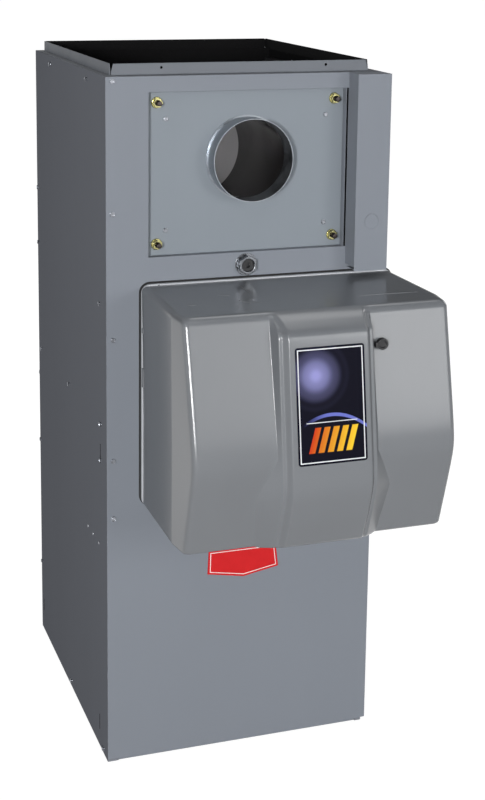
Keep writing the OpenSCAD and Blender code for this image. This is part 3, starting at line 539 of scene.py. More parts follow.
@dataclass(frozen=True)
class CircuitBoard:
    """Green board with copper tracks under its mask; parts that stand on it are darker."""

    mask: Colour = srgb(26, 84, 52)
    track: Colour = srgb(58, 128, 84)
    parts: Colour = srgb(38, 40, 46)
    face_x: float = -0.2572

    def build(self, name: str) -> bpy.types.Material:
        """Material of the board.

        Args:
            name: The material's name.

        Returns:
            The material.
        """
        s = Shader(name)
        across, _, up = s.axes(s.place())
        lane = (s.cells(60.0, stretch=(1, 1, 0.2)) * 14.0 + up * 260.0).maths("FRACT")
        tracks = lane.step(0.68, 0.74) * lane.step(0.96, 0.90)
        stands = across.step(self.face_x + 0.0004, self.face_x + 0.0012)
        base = s.blend(stands, s.blend(tracks, self.mask, self.track), self.parts)
        return s.set(Base_Color=base, Roughness=stands * 0.2 + 0.3,
                     Normal=s.bumps((tracks, 0.3, 0.0002)))


@dataclass(frozen=True)
class PanelArt:
    """Generic printed label: night field, pale glow, slanted warm bars and a border line.

    Its lengths are in millimetres from the lower left corner of the label.
    """

    field: Colour = srgb(12, 12, 24)
    glow: Colour = srgb(150, 150, 205)
    red: Colour = srgb(190, 42, 26)
    yellow: Colour = srgb(236, 196, 52)
    arc: Colour = srgb(104, 112, 190)
    white: Colour = srgb(222, 224, 228)
    width: float = 126.5
    height: float = 201.0
    glow_x: float = 36.0
    glow_y: float = 152.0
    glow_reach: float = 82.0
    arc_x: float = 63.0
    arc_y: float = 84.0
    bars: int = 5
    bar_low: float = 20.0
    bar_high: float = 64.0
    bar_left: float = 16.0
    bar_pitch: float = 17.0
    bar_lean: float = 0.30
    rule_y: float = 72.0
    rule_left: float = 16.0
    rule_right: float = 110.0
    border: float = 4.6

    def build(self, name: str) -> bpy.types.Material:
        """Material of the print, on the label's UV map, which spans it once.

        Args:
            name: The material's name.

        Returns:
            The material.
        """
        s = Shader(name)
        u, v, _ = s.axes(s.place(uv=True))
        x, y = u * self.width, v * self.height
        # Glow at the upper left, which fades out with rings
        reach = ((x - self.glow_x) ** 2.0 + (y - self.glow_y) ** 2.0).maths("SQRT")
        rings = (reach * 0.35).maths("SINE") * 0.03 * reach.step(80.0, 20.0)
        base = s.blend((reach.step(self.glow_reach, 0.0) ** 3.4) * 0.9 + rings,
                       self.field, self.glow)
        # Flat arc over the lower third
        bow = y - self.arc_y + ((x - self.arc_x) ** 2.0) * 0.006
        base = s.blend(bow.size().step(3.4, 2.4) * x.step(8.0, 60.0), base, self.arc)
        # Slanted bars that turn from red to yellow to the right
        lean = (y - self.bar_low) * self.bar_lean
        slant = (x - lean - self.bar_left) / self.bar_pitch
        bar = (slant.maths("FRACT") - 0.5).size().step(0.34, 0.30)
        inside = (bar * y.step(self.bar_low, self.bar_low + 1.0)
                  * y.step(self.bar_high, self.bar_high - 1.0)
                  * slant.step(0.0, 0.05) * slant.step(self.bars, self.bars - 0.05))
        base = s.blend(inside, base, s.blend(slant / self.bars, self.red, self.yellow))
        # Rule above the bars and the border line
        rule = ((y - self.rule_y).size().step(0.9, 0.5)
                * x.step(self.rule_left, self.rule_left + 1.0)
                * x.step(self.rule_right, self.rule_right - 1.0))
        base = s.blend(rule, base, self.white)
        edge = x.least(self.width - x).least(y).least(self.height - y)
        base = s.blend((edge - self.border).size().step(1.15, 0.75), base, self.white)
        return s.set(Base_Color=base, Roughness=0.45, Specular_IOR_Level=0.05,
                     Normal=s.bumps((s.noise(300.0, 2.0), 0.04, 0.0003)))


class Finish(Enum):
    """Finishes of this furnace; each value is the finish and its slot in the record."""

    CABINET = (PaintedSteel(srgb(127, 132, 140)), "cabinet_paint")
    # Darker copy of the cabinet paint for the side panels: painted shade of the sides turned from
    # the light.
    SIDE = (PaintedSteel(srgb(125, 128, 135), gloss=0.0), "cabinet_paint")
    # Darker copy of the cabinet paint for the top plate: painted shade.
    TOP = (PaintedSteel(srgb(114, 118, 124), gloss=0.08), "cabinet_paint")
    FLUE_PLATE = (PaintedSteel(srgb(131, 138, 145), 0.44, wave=0.35), "cabinet_paint")
    # Near-black on cabinet paint for faces inside the cabinet, the duct tabs and the side slots:
    # painted shade of the dark interior.
    DUCT_LINER = (Fibre(srgb(15, 15, 16), 0.1), "cabinet_paint")
    # Near-black on the side insulation: painted shade of the dark interior.
    BOARD_LINER = (Fibre(srgb(40, 40, 42), 0.1), "black_liner")
    GALVANISED = (Galvanised(), "galvanised_steel")
    COLLAR = (Galvanised(srgb(150, 155, 161), 0.36, 140.0, 0.25), "galvanised_steel")
    DRUM = (PaintedSteel(srgb(72, 68, 66), 0.55, 0.3, 0.4, 0.25), "drum_steel")
    HEAT_BLACK = (PaintedSteel(srgb(34, 32, 32), 0.19, 0.1, 0.03, 0.1, 0.6), "heat_black")
    STUD_STEEL = (BareMetal(srgb(74, 68, 66), 0.3, tarnish=0.4), "galvanised_steel")
    END_PLATE = (PaintedSteel(srgb(196, 194, 196), 0.5, 0.15, 0.3, 0.12), "end_plate_steel")
    CASTING = (BareMetal(srgb(176, 179, 182), 0.48, mark_scale=300.0, depth=0.4),
               "cast_aluminium")
    PUMP = (BareMetal(srgb(196, 199, 203), 0.34, mark_scale=350.0, depth=0.25),
            "bright_aluminium")
    SHUTTER = (BareMetal(srgb(200, 203, 207), 0.30, (1, 0.1, 1)), "bright_aluminium")
    WHEEL = (BareMetal(srgb(160, 163, 168), 0.34, (1, 1, 0.2)), "wheel_steel")
    CHROME = (BareMetal(srgb(132, 135, 140), 0.18, (0.15, 1, 0.15), tarnish=0.4),
              "bright_chrome")
    YELLOW_ZINC = (BareMetal(srgb(196, 190, 136), 0.15, tarnish=0.5), "yellow_zinc")
    SCREW_ZINC = (BareMetal(srgb(146, 149, 155), 0.22, tarnish=0.3), "galvanised_steel")
    BRASS = (BareMetal(srgb(198, 160, 92), 0.26), "brass")
    COPPER = (BareMetal(srgb(190, 112, 74), 0.30, tarnish=0.45), "copper")
    COVER = (Moulded(srgb(111, 114, 118), 0.23, 0.06), "moulded_cover")
    # Much lighter copy of the cover plastic for the rim: painted highlight on its rolled edge.
    COVER_EDGE = (Moulded(srgb(172, 175, 180), 0.23, 0.06), "moulded_cover")
    BLACK_PLASTIC = (Moulded(srgb(30, 30, 32), 0.40, 0.2, 700.0), "black_plastic")
    CONTROL_GREY = (Moulded(srgb(86, 88, 92), 0.42, 0.2, 700.0), "control_grey")
    RESIN = (Moulded(srgb(206, 192, 150), 0.5, 0.2, 500.0), "block_resin")
    NYLON = (Moulded(srgb(220, 220, 216), 0.4), "white_nylon")
    FOAM = (SoftBlack(), "foam_rubber")
    CERAMIC_FIBRE = (Fibre(srgb(214, 208, 194)), "ceramic_fibre")
    PORCELAIN = (Enamel(srgb(232, 229, 220), 0.2), "porcelain")
    MOTOR = (PaintedSteel(srgb(48, 52, 58), 0.36, 0.25, 0.2, 0.12), "motor_enamel")
    RED = (Enamel(srgb(200, 28, 32), 0.4, 0.0, 0.2), "red_enamel")
    WHITE = (Enamel(srgb(236, 236, 236), 0.35), "red_enamel")
    BOARD = (CircuitBoard(), "circuit_green")
    ART = (PanelArt(), "black_plastic")


class Palette:
    """Builds each finish once and puts it on pieces."""

    made: dict[Finish, bpy.types.Material] = {}

    @classmethod
    def material(cls, finish: Finish) -> bpy.types.Material:
        """The finish's material.

        Args:
            finish: The finish.

        Returns:
            The material, built when it is first asked for.
        """
        if finish not in cls.made:
            cls.made[finish] = finish.value[0].build(finish.name.lower())
        return cls.made[finish]

    @classmethod
    def dress(cls, piece: bpy.types.Object, *finishes: Finish) -> None:
        """Gives a new piece its materials.

        Args:
            piece: The piece.
            finishes: Its finishes, as its materials in order.
        """
        piece.data.materials.clear()
        for finish in finishes:
            piece.data.materials.append(cls.material(finish))

    @classmethod
    def dress_nodes(cls, finish: Finish, *nodes: str) -> None:
        """Gives CAD nodes that stay as they are their material.

        Args:
            finish: The finish.
            nodes: Names of the nodes.
        """
        for name in nodes:
            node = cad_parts[name]
            if not node.material_slots:
                node.data.materials.append(None)
            for slot in node.material_slots:
                slot.material = cls.material(finish)
            LOG.info("kept %s as %s", name, finish.name.lower())


# Bench work


class Element(Enum):
    """What a selection picks."""

    VERT = "verts"
    FACE = "faces"


class Bench:
    """Primitives, selections, edit-mode steps and modifiers, as used by hand."""

    @staticmethod
    def clear() -> None:
        """Leaves edit mode and deselects everything."""
        if bpy.context.object is not None and bpy.context.object.mode != "OBJECT":
            bpy.ops.object.mode_set(mode="OBJECT")
        bpy.ops.object.select_all(action="DESELECT")

    @classmethod
    def take(cls, piece: bpy.types.Object) -> None:
        """Makes one piece the only selected and the active one.

        Args:
            piece: The piece.
        """
        cls.clear()
        piece.select_set(True)
        bpy.context.view_layer.objects.active = piece

    @classmethod
    def named(cls, name: str) -> bpy.types.Object:
        """Names the active piece, such as a primitive that was just added.

        Args:
            name: The name of the object and its mesh.

        Returns:
            The piece.
        """
        piece = bpy.context.object
        piece.name = piece.data.name = name
        return piece

    @classmethod
    def cylinder(cls, name: str, radius: float, depth: float, centre: Point,
                 turn: Point = (0, 0, 0), sides: int = 48) -> bpy.types.Object:
        """Adds a cylinder primitive, in millimetres and degrees.

        Args:
            name: The piece's name.
            radius: Radius, to the corners where it has few sides.
            depth: Length.
            centre: Its middle.
            turn: Rotation from an axis along Z.
            sides: Faces round it.

        Returns:
            The piece.
        """
        cls.clear()
        bpy.ops.mesh.primitive_cylinder_add(
            vertices=sides, radius=radius * MM, depth=depth * MM,
            location=[c * MM for c in centre], rotation=[math.radians(a) for a in turn])
        return cls.named(name)

    @classmethod
    def block(cls, name: str, low: Point, high: Point) -> bpy.types.Object:
        """Adds a cube primitive between two corners.

        Args:
            name: The piece's name.
            low: The corner with the smaller coordinates, in millimetres.
            high: The opposite corner.

        Returns:
            The piece.
        """
        cls.clear()
        middle = [(a + b) / 2 * MM for a, b in zip(low, high)]
        bpy.ops.mesh.primitive_cube_add(
            size=1, location=middle, scale=[(b - a) * MM for a, b in zip(low, high)])
        piece = cls.named(name)
        bpy.ops.object.transform_apply(location=True, rotation=True, scale=True)
        return piece

    @classmethod
    def loft(cls, name: str, columns: int, rows: int, place: Callable[[int, int], Point],
             merge: bool = True) -> bpy.types.Object:
        """Adds a grid primitive and moves its points by a rule.

        Args:
            name: The piece's name.
            columns: Faces across.
            rows: Faces along.
            place: Gives the point, in millimetres, for a column and a row.
            merge: Whether points that meet become one.

        Returns:
            The piece.
        """
        cls.clear()
        bpy.ops.mesh.primitive_grid_add(
            x_subdivisions=columns, y_subdivisions=rows, size=2, calc_uvs=True)
        piece = cls.named(name)
        for vertex in piece.data.vertices:
            column = round((vertex.co.x + 1) / 2 * columns)
            row = round((vertex.co.y + 1) / 2 * rows)
            vertex.co = Vector(place(column, row)) * MM
        if merge:
            cls.edit(piece, lambda: bpy.ops.mesh.remove_doubles(threshold=1e-6))
        return piece

    @classmethod
    def edit(cls, piece: bpy.types.Object, *steps: Callable[[], Any]) -> None:
        """Runs edit-mode operators on all of a piece.

        Args:
            piece: The piece.
            steps: Calls of operators, in order, with everything selected at the start.
        """
        cls.take(piece)
        bpy.ops.object.mode_set(mode="EDIT")
        bpy.ops.mesh.select_all(action="SELECT")
        for step in steps:
            step()
        bpy.ops.object.mode_set(mode="OBJECT")

    @classmethod
    def pick(cls, element: Element, test: Callable[[Vector, Vector], bool]) -> None:
        """Selects by place in edit mode.

        Args:
            element: What is picked.
            test: Says from an element's centre, in millimetres, and its normal whether it is
                picked.
        """
        bpy.ops.mesh.select_mode(type=element.name)
        bpy.ops.mesh.select_all(action="DESELECT")
        mesh = bmesh.from_edit_mesh(bpy.context.object.data)
        turned = bpy.context.object.matrix_world
        for item in getattr(mesh, element.value):
            centre = item.calc_center_median() if element is Element.FACE else item.co
            if test(turned @ centre / MM, (turned.to_3x3() @ item.normal).normalized()):
                item.select_set(True)
        bmesh.update_edit_mesh(bpy.context.object.data)

    @classmethod
    def recess(cls, piece: bpy.types.Object, way: Point, rim: float, deep: float,
               steep: bool = True) -> None:
        """Sinks the middle of an end face.

        Args:
            piece: The piece.
            way: Where the face points.
            rim: Width that stays round the recess, in millimetres.
            deep: Its depth in millimetres.
            steep: Whether its wall is upright; otherwise the rim slopes down to it.
        """
        push = tuple(-part * deep * MM for part in way)

        def sink() -> None:
            """Moves the inset face in."""
            if steep:
                bpy.ops.mesh.extrude_region_move(TRANSFORM_OT_translate={"value": push})
            else:
                bpy.ops.transform.translate(value=push)

        cls.edit(
            piece,
            lambda: cls.pick(Element.FACE, lambda centre, normal: normal.dot(Vector(way)) > 0.9),
            lambda: bpy.ops.mesh.inset(thickness=rim * MM),
            sink)

    @classmethod
    def modify(cls, piece: bpy.types.Object, kind: str, **settings: Any) -> None:
        """Adds a modifier and applies it.

        Args:
            piece: The piece.
            kind: The modifier's type.
            settings: Its settings.
        """
        cls.take(piece)
        modifier = piece.modifiers.new(kind.lower(), kind)
        for key, value in settings.items():
            setattr(modifier, key, value)
        bpy.ops.object.modifier_apply(modifier=modifier.name)

    @classmethod
    def bevel(cls, piece: bpy.types.Object, width: float, segments: int = 2) -> None:
        """Rounds the edges of a piece that are sharper than 35 degrees, by a width in mm."""
        cls.modify(piece, "BEVEL", width=width * MM, segments=segments, limit_method="ANGLE",
                   angle_limit=math.radians(35.0), use_clamp_overlap=True)

    @classmethod
    def cut(cls, piece: bpy.types.Object, tool: bpy.types.Object) -> None:
        """Cuts one piece with another and removes the tool."""
        cls.modify(piece, "BOOLEAN", operation="DIFFERENCE", object=tool, solver="EXACT")
        bpy.data.objects.remove(tool)

    @classmethod
    def join(cls, name: str, pieces: Sequence[bpy.types.Object]) -> bpy.types.Object:
        """Joins pieces into the first one.

        Args:
            name: The name of the joined piece.
            pieces: The pieces.

        Returns:
            The joined piece.
        """
        cls.take(pieces[0])
        for piece in pieces[1:]:
            piece.select_set(True)
        if len(pieces) > 1:
            bpy.ops.object.join()
        return cls.named(name)

    @classmethod
    def settle(cls, piece: bpy.types.Object, smooth: float = 40.0, outward: bool = True) -> None:
        """Applies the transform, points the faces outwards and smooths what is rounded.

        Args:
            piece: The piece.
            smooth: Angle in degrees up to which an edge is shaded smooth.
            outward: Whether the normals are made anew.
        """
        cls.take(piece)
        bpy.ops.object.transform_apply(location=True, rotation=True, scale=True)
        if outward:
            cls.edit(piece, lambda: bpy.ops.mesh.normals_make_consistent(inside=False))
        bpy.ops.object.shade_smooth_by_angle(angle=math.radians(smooth))
        cls.modify(piece, "WEIGHTED_NORMAL", keep_sharp=True, weight=80)

    @classmethod
    def repeat(cls, name: str, model: bpy.types.Object,
               places: Iterable[Matrix]) -> bpy.types.Object:
        """Copies a model to each place, each copy with its own mesh, and joins them.

        Args:
            name: Name of the joined piece.
            model: What is copied; it is used up.
            places: Where the copies go.

        Returns:
            The joined piece.
        """
        copies = []
        for place in places:
            twin = model.copy()
            twin.data = model.data.copy()
            bpy.context.scene.collection.objects.link(twin)
            twin.matrix_world = place @ model.matrix_world
            copies.append(twin)
        bpy.data.objects.remove(model)
        bpy.context.view_layer.update()
        return cls.join(name, copies)

    @classmethod
    def softened(cls, node: str, width: float, segments: int = 2) -> bpy.types.Object:
        """Copy of a CAD node with its flat faces merged and its edges rounded.

        Args:
            node: The node.
            width: Width of the rounding in millimetres.
            segments: Faces across it.

        Returns:
            The new piece, which isn't placed on a body yet.
        """
        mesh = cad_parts[node].data.copy()
        piece = bpy.data.objects.new(node + "_soft", mesh)
        bpy.context.scene.collection.objects.link(piece)
        cls.edit(
            piece,
            lambda: bpy.ops.mesh.customdata_custom_splitnormals_clear(),
            lambda: bpy.ops.mesh.remove_doubles(threshold=2e-6),
            lambda: bpy.ops.mesh.dissolve_limited(angle_limit=math.radians(1.0)))
        cls.bevel(piece, width, segments)
        cls.settle(piece, outward=False)
        return piece


def place_at(point: Point, way: Point) -> Matrix:
    """Matrix that takes local Z to a direction at a point, in millimetres."""
    turn = Vector((0, 0, 1)).rotation_difference(Vector(way)).to_matrix().to_4x4()
    return Matrix.Translation(Vector(point) * MM) @ turn


def mount(piece: bpy.types.Object, body: str, *nodes: str) -> None:
    """Puts a dressed piece on its body.

    Args:
        piece: The piece.
        body: Name of the body that it rides on.
        nodes: Names of the CAD nodes that it stands for.
    """
    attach(piece, body)
    if nodes:
        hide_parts(*nodes)
    LOG.info("made %s on %s for %s", piece.name, body, ", ".join(nodes) or "no node")


def complete(piece: bpy.types.Object, finish: Finish, body: str, *nodes: str,
             smooth: float = 40.0) -> None:
    """Settles a new piece, dresses it and mounts it.

    Args:
        piece: The piece.
        finish: Its finish.
        body: Name of the body that it rides on.
        nodes: Names of the CAD nodes that it stands for.
        smooth: Angle in degrees up to which an edge is shaded smooth.
    """
    Bench.settle(piece, smooth)
    Palette.dress(piece, finish)
    mount(piece, body, *nodes)


def soften_node(node: str, ending: str, finish: Finish, width: float, body: str = "root",
                segments: int = 2) -> None:
    """Puts a rounded copy in place of a CAD node.

    Args:
        node: The node.
        ending: What the copy's name adds to the node's.
        finish: Its finish.
        width: Width of the rounding in millimetres.
        body: Name of the body that it rides on.
        segments: Faces across the rounding.
    """
    piece = Bench.softened(node, width, segments)
    piece.name = node + ending
    Palette.dress(piece, finish)
    mount(piece, body, node)


# Sub-assemblies


@dataclass
class Cabinet:
    """Sheet-metal shell: panels with rounded bends, screws, slots and the duct flange."""

    half: float = 266.5
    front: float = -308.5
    back: float = 308.5
    height: float = 1314.0
    bend: float = 0.45
    # Depth behind the front from which forward-facing faces get the near-black painted shade
    shade_from: float = 20.0
    box_floor: float = 944.0
    deck: float = 630.0
    deck_lip: float = 42.0
    panels: tuple[str, ...] = (
        "left_side_panel", "right_side_panel", "front_panel", "rear_panel")
    # Duct flange, as the inner faces of its sheets, and the tabs in its rear corners
    duct_left: float = -248.4
    duct_right: float = 251.4
    duct_back: float = 298.4
    duct_middle: Point = (1.5, 13.0, 0.0)
    tab_across: float = 8.0
    tab_along: float = 9.0
    tab_thick: float = 1.0
    tab_foot: float = 1.0
    tab_top: float = 19.0
    # Flue plate, which four of the screws hold
    plate_x: float = 5.0
    plate_y: float = -290.5
    plate_z: float = 1132.0
    plate_screw_x: float = 155.5
    plate_screw_z: float = 102.5
    # Sheet-metal screw
    screw_edge: float = 12.0
    washer_r: float = 4.6
    washer_high: float = 0.9
    head_r: float = 4.55
    head_high: float = 2.8
    head_rim: float = 1.1
    head_dent: float = 1.0
    shank_r: float = 1.7
    shank_long: float = 5.0
    # Marks on the left side: slots as distance from the front, foot and top, and rivets
    slots: tuple[Point, ...] = ((50.0, 592.0, 621.0), (66.0, 34.0, 66.0), (595.0, 45.0, 72.0))
    slot_half: float = 1.6
    rivets: tuple[float, ...] = (63.0, 110.0, 152.0)
    rivet_z: float = 420.0
    rivet_r: float = 3.0
    # Badge
    badge_thick: float = 1.5
    line_thick: float = 0.12
    line_wide: float = 1.3

    def panel(self, node: str) -> None:
        """Rounds one panel's edges, darkens the side panels' paint and paints its inward faces
        near-black, all as painted shade.

        Args:
            node: The panel.
        """
        piece = Bench.softened(node, self.bend)
        piece.name = node + "_sheet"
        inward = {"left": (1, 0, 0), "right": (-1, 0, 0), "rear": (0, -1, 0)}
        way = Vector(inward.get(node.split("_")[0], (0, 1, 0)))
        outer = Finish.SIDE if "side" in node else Finish.CABINET
        Palette.dress(piece, outer, Finish.DUCT_LINER)
        deep = (self.front + self.shade_from) * MM
        for face in piece.data.polygons:
            within = face.normal.y < -0.5 and face.center.y > deep
            face.material_index = 1 if within or face.normal.dot(way) > 0.9 else 0
        mount(piece, "root", node)

    def top(self) -> None:
        """Top plate and duct flange, in a darker copy of the cabinet paint as painted shade,
        near-black inside as painted shade of the interior.
        """
        piece = Bench.softened("top_plate", self.bend)
        piece.name = "top_plate_sheet"
        Palette.dress(piece, Finish.TOP, Finish.DUCT_LINER)
        middle = Vector(self.duct_middle) * MM
        for face in piece.data.polygons:
            inward = (middle - face.center).to_2d().dot(face.normal.to_2d()) > 0
            if inward and abs(face.normal.z) < 0.5:
                face.material_index = 1
        mount(piece, "root", "top_plate")

    def tabs(self) -> None:
        """Two small tabs in each rear corner of the duct flange, one on each sheet."""
        parts = []
        for side, inward in ((self.duct_left, 1), (self.duct_right, -1)):
            for reach, depth in ((self.tab_across, self.tab_thick),
                                 (self.tab_thick, self.tab_along)):
                end = side + inward * reach
                parts.append(Bench.block(
                    "tab", (min(side, end), self.duct_back - depth, self.height + self.tab_foot),
                    (max(side, end), self.duct_back, self.height + self.tab_top)))
        # The tabs get the near-black painted shade of the duct's interior
        complete(Bench.join("duct_corner_tabs", parts), Finish.DUCT_LINER, "root")

    def screw(self) -> bpy.types.Object:
        """Self-drilling screw with a washer face and a dented hexagon head.

        Returns:
            The screw, along +Z, with its seat at the origin.
        """
        washer = Bench.cylinder("washer", self.washer_r, self.washer_high,
                                (0, 0, self.washer_high / 2), sides=28)
        Bench.bevel(washer, 0.3)
        head = Bench.cylinder("head", self.head_r, self.head_high,
                              (0, 0, self.head_high / 2 + 0.8), sides=6)
        Bench.recess(head, (0, 0, 1), self.head_rim, self.head_dent)
        Bench.bevel(head, 0.35)
        shank = Bench.cylinder("shank", self.shank_r, self.shank_long,
                               (0, 0, 0.1 - self.shank_long / 2), sides=12)
        Bench.bevel(shank, 0.3)
        return Bench.join("screw", [head, washer, shank])

    def screw_places(self) -> list[Matrix]:
        """Places of all the screws, as the CAD has them.

        Returns:
            A matrix for each, first those of both sides, then front, back and flue plate.
        """
        lip = self.deck + 0.75 * self.deck_lip
        depth = self.back - self.front
        # Distance from the front and height of those in the sides, then heights of the others
        sides = [
            (144, self.height - 17), (466, self.height - 17), (depth - self.screw_edge, 1019),
            (depth - self.screw_edge, 898), (49, 892), (45, lip), (314, lip),
            (depth - 30, lip), (45, 591), (depth - self.screw_edge, 449),
            (depth - self.screw_edge, 161), (314, 13), (35, 10)]
        fronts = [self.height - 8, 1067, 834, 603, 491]
        rears = [self.height - 30, 1060, 850, self.deck + 16]
        places = [place_at((s * self.half, self.front + d, z), (s, 0, 0))
                  for d, z in sides for s in (-1, 1)]
        across = self.half - self.screw_edge
        places += [place_at((s * across, self.front, z), (0, -1, 0))
                   for z in fronts for s in (-1, 1) if s < 0 or z < self.box_floor - 20]
        places += [place_at((s * across, self.back, z), (0, 1, 0))
                   for z in rears for s in (-1, 1)]
        places += [place_at((self.plate_x + sx * self.plate_screw_x, self.plate_y,
                             self.plate_z + sz * self.plate_screw_z), (0, -1, 0))
                   for sx in (-1, 1) for sz in (-1, 1)]
        return places

    def screws(self) -> None:
        """All screws as one piece, each turned a little differently about its own axis."""
        places = [place @ Matrix.Rotation(0.7 * k, 4, "Z")
                  for k, place in enumerate(self.screw_places())]
        complete(Bench.repeat("cabinet_screw_set", self.screw(), places), Finish.SCREW_ZINC,
                 "root", "cabinet_screws")

    def marks(self) -> None:
        """Lanced slots, drawn as near-black strips that are painted shade of their openings, and
        rivets in the left side.
        """
        slots, rivets = [], []
        for y, low, high in self.slots:
            slot = Bench.block(
                "slot", (-self.half - 0.25, self.front + y - self.slot_half, low),
                (-self.half + 0.2, self.front + y + self.slot_half, high))
            Bench.edit(slot, lambda: bpy.ops.mesh.subdivide(number_cuts=1))
            Bench.bevel(slot, 0.2)
            slots.append(slot)
        complete(Bench.join("side_slots", slots), Finish.DUCT_LINER, "root")
        for y in self.rivets:
            rivet = Bench.cylinder(
                "rivet", self.rivet_r, 1.4, (-self.half - 0.5, self.front + y, self.rivet_z),
                (0, -90, 0), 20)
            Bench.bevel(rivet, 0.6, 3)
            rivets.append(rivet)
        complete(Bench.join("side_rivets", rivets), Finish.SCREW_ZINC, "root")

    def badge(self) -> None:
        """Bare red plate with a pale border line, under the burner cover."""
        outline = [(-70, 357), (3, 344), (74, 357), (68, 403), (-68, 403)]
        plate = self.plate("badge_enamel", outline, 0.0, self.badge_thick)
        complete(plate, Finish.RED, "root", "badge_plate")
        inner = [(-65.5, 360.2), (3, 348.2), (69.5, 360.2), (64.5, 399.5), (-64.5, 399.5)]
        line = self.plate("badge_line", inner, self.badge_thick, self.line_thick,
                          self.line_wide)
        complete(line, Finish.WHITE, "root")

    def plate(self, name: str, outline: Sequence[Flat], stand: float, thick: float,
              rim: float = 0.0) -> bpy.types.Object:
        """Flat plate on the front panel.

        Args:
            name: The piece's name.
            outline: Corners as x and z in millimetres.
            stand: Gap to the panel in millimetres.
            thick: Thickness in millimetres.
            rim: Where above 0, only a rim of this width is kept.

        Returns:
            The plate.
        """
        Bench.clear()
        bpy.ops.mesh.primitive_circle_add(vertices=len(outline), radius=1, fill_type="NGON")
        piece = Bench.named(name)
        for vertex, (x, z) in zip(piece.data.vertices, outline):
            vertex.co = Vector((x, self.front - stand, z)) * MM
        if rim > 0:
            Bench.edit(piece, lambda: bpy.ops.mesh.inset(thickness=rim * MM),
                       lambda: bpy.ops.mesh.delete(type="FACE"))
        Bench.edit(
            piece,
            lambda: bpy.ops.mesh.extrude_region_move(
                TRANSFORM_OT_translate={"value": (0, -thick * MM, 0)}),
            lambda: bpy.ops.mesh.select_all(action="SELECT"),
            lambda: bpy.ops.mesh.normals_make_consistent(inside=False))
        if rim == 0:
            Bench.bevel(piece, 0.4)
        return piece

    def build(self) -> None:
        """Builds the cabinet's pieces."""
        for node in self.panels:
            self.panel(node)
        self.top()
        self.tabs()
        self.screws()
        self.marks()
        self.badge()
        Palette.dress_nodes(Finish.CABINET, "base_pan")
        Palette.dress_nodes(Finish.GALVANISED, "divider_deck")
        # The side insulation gets the near-black painted shade of the interior
        Palette.dress_nodes(Finish.BOARD_LINER, "side_insulation")


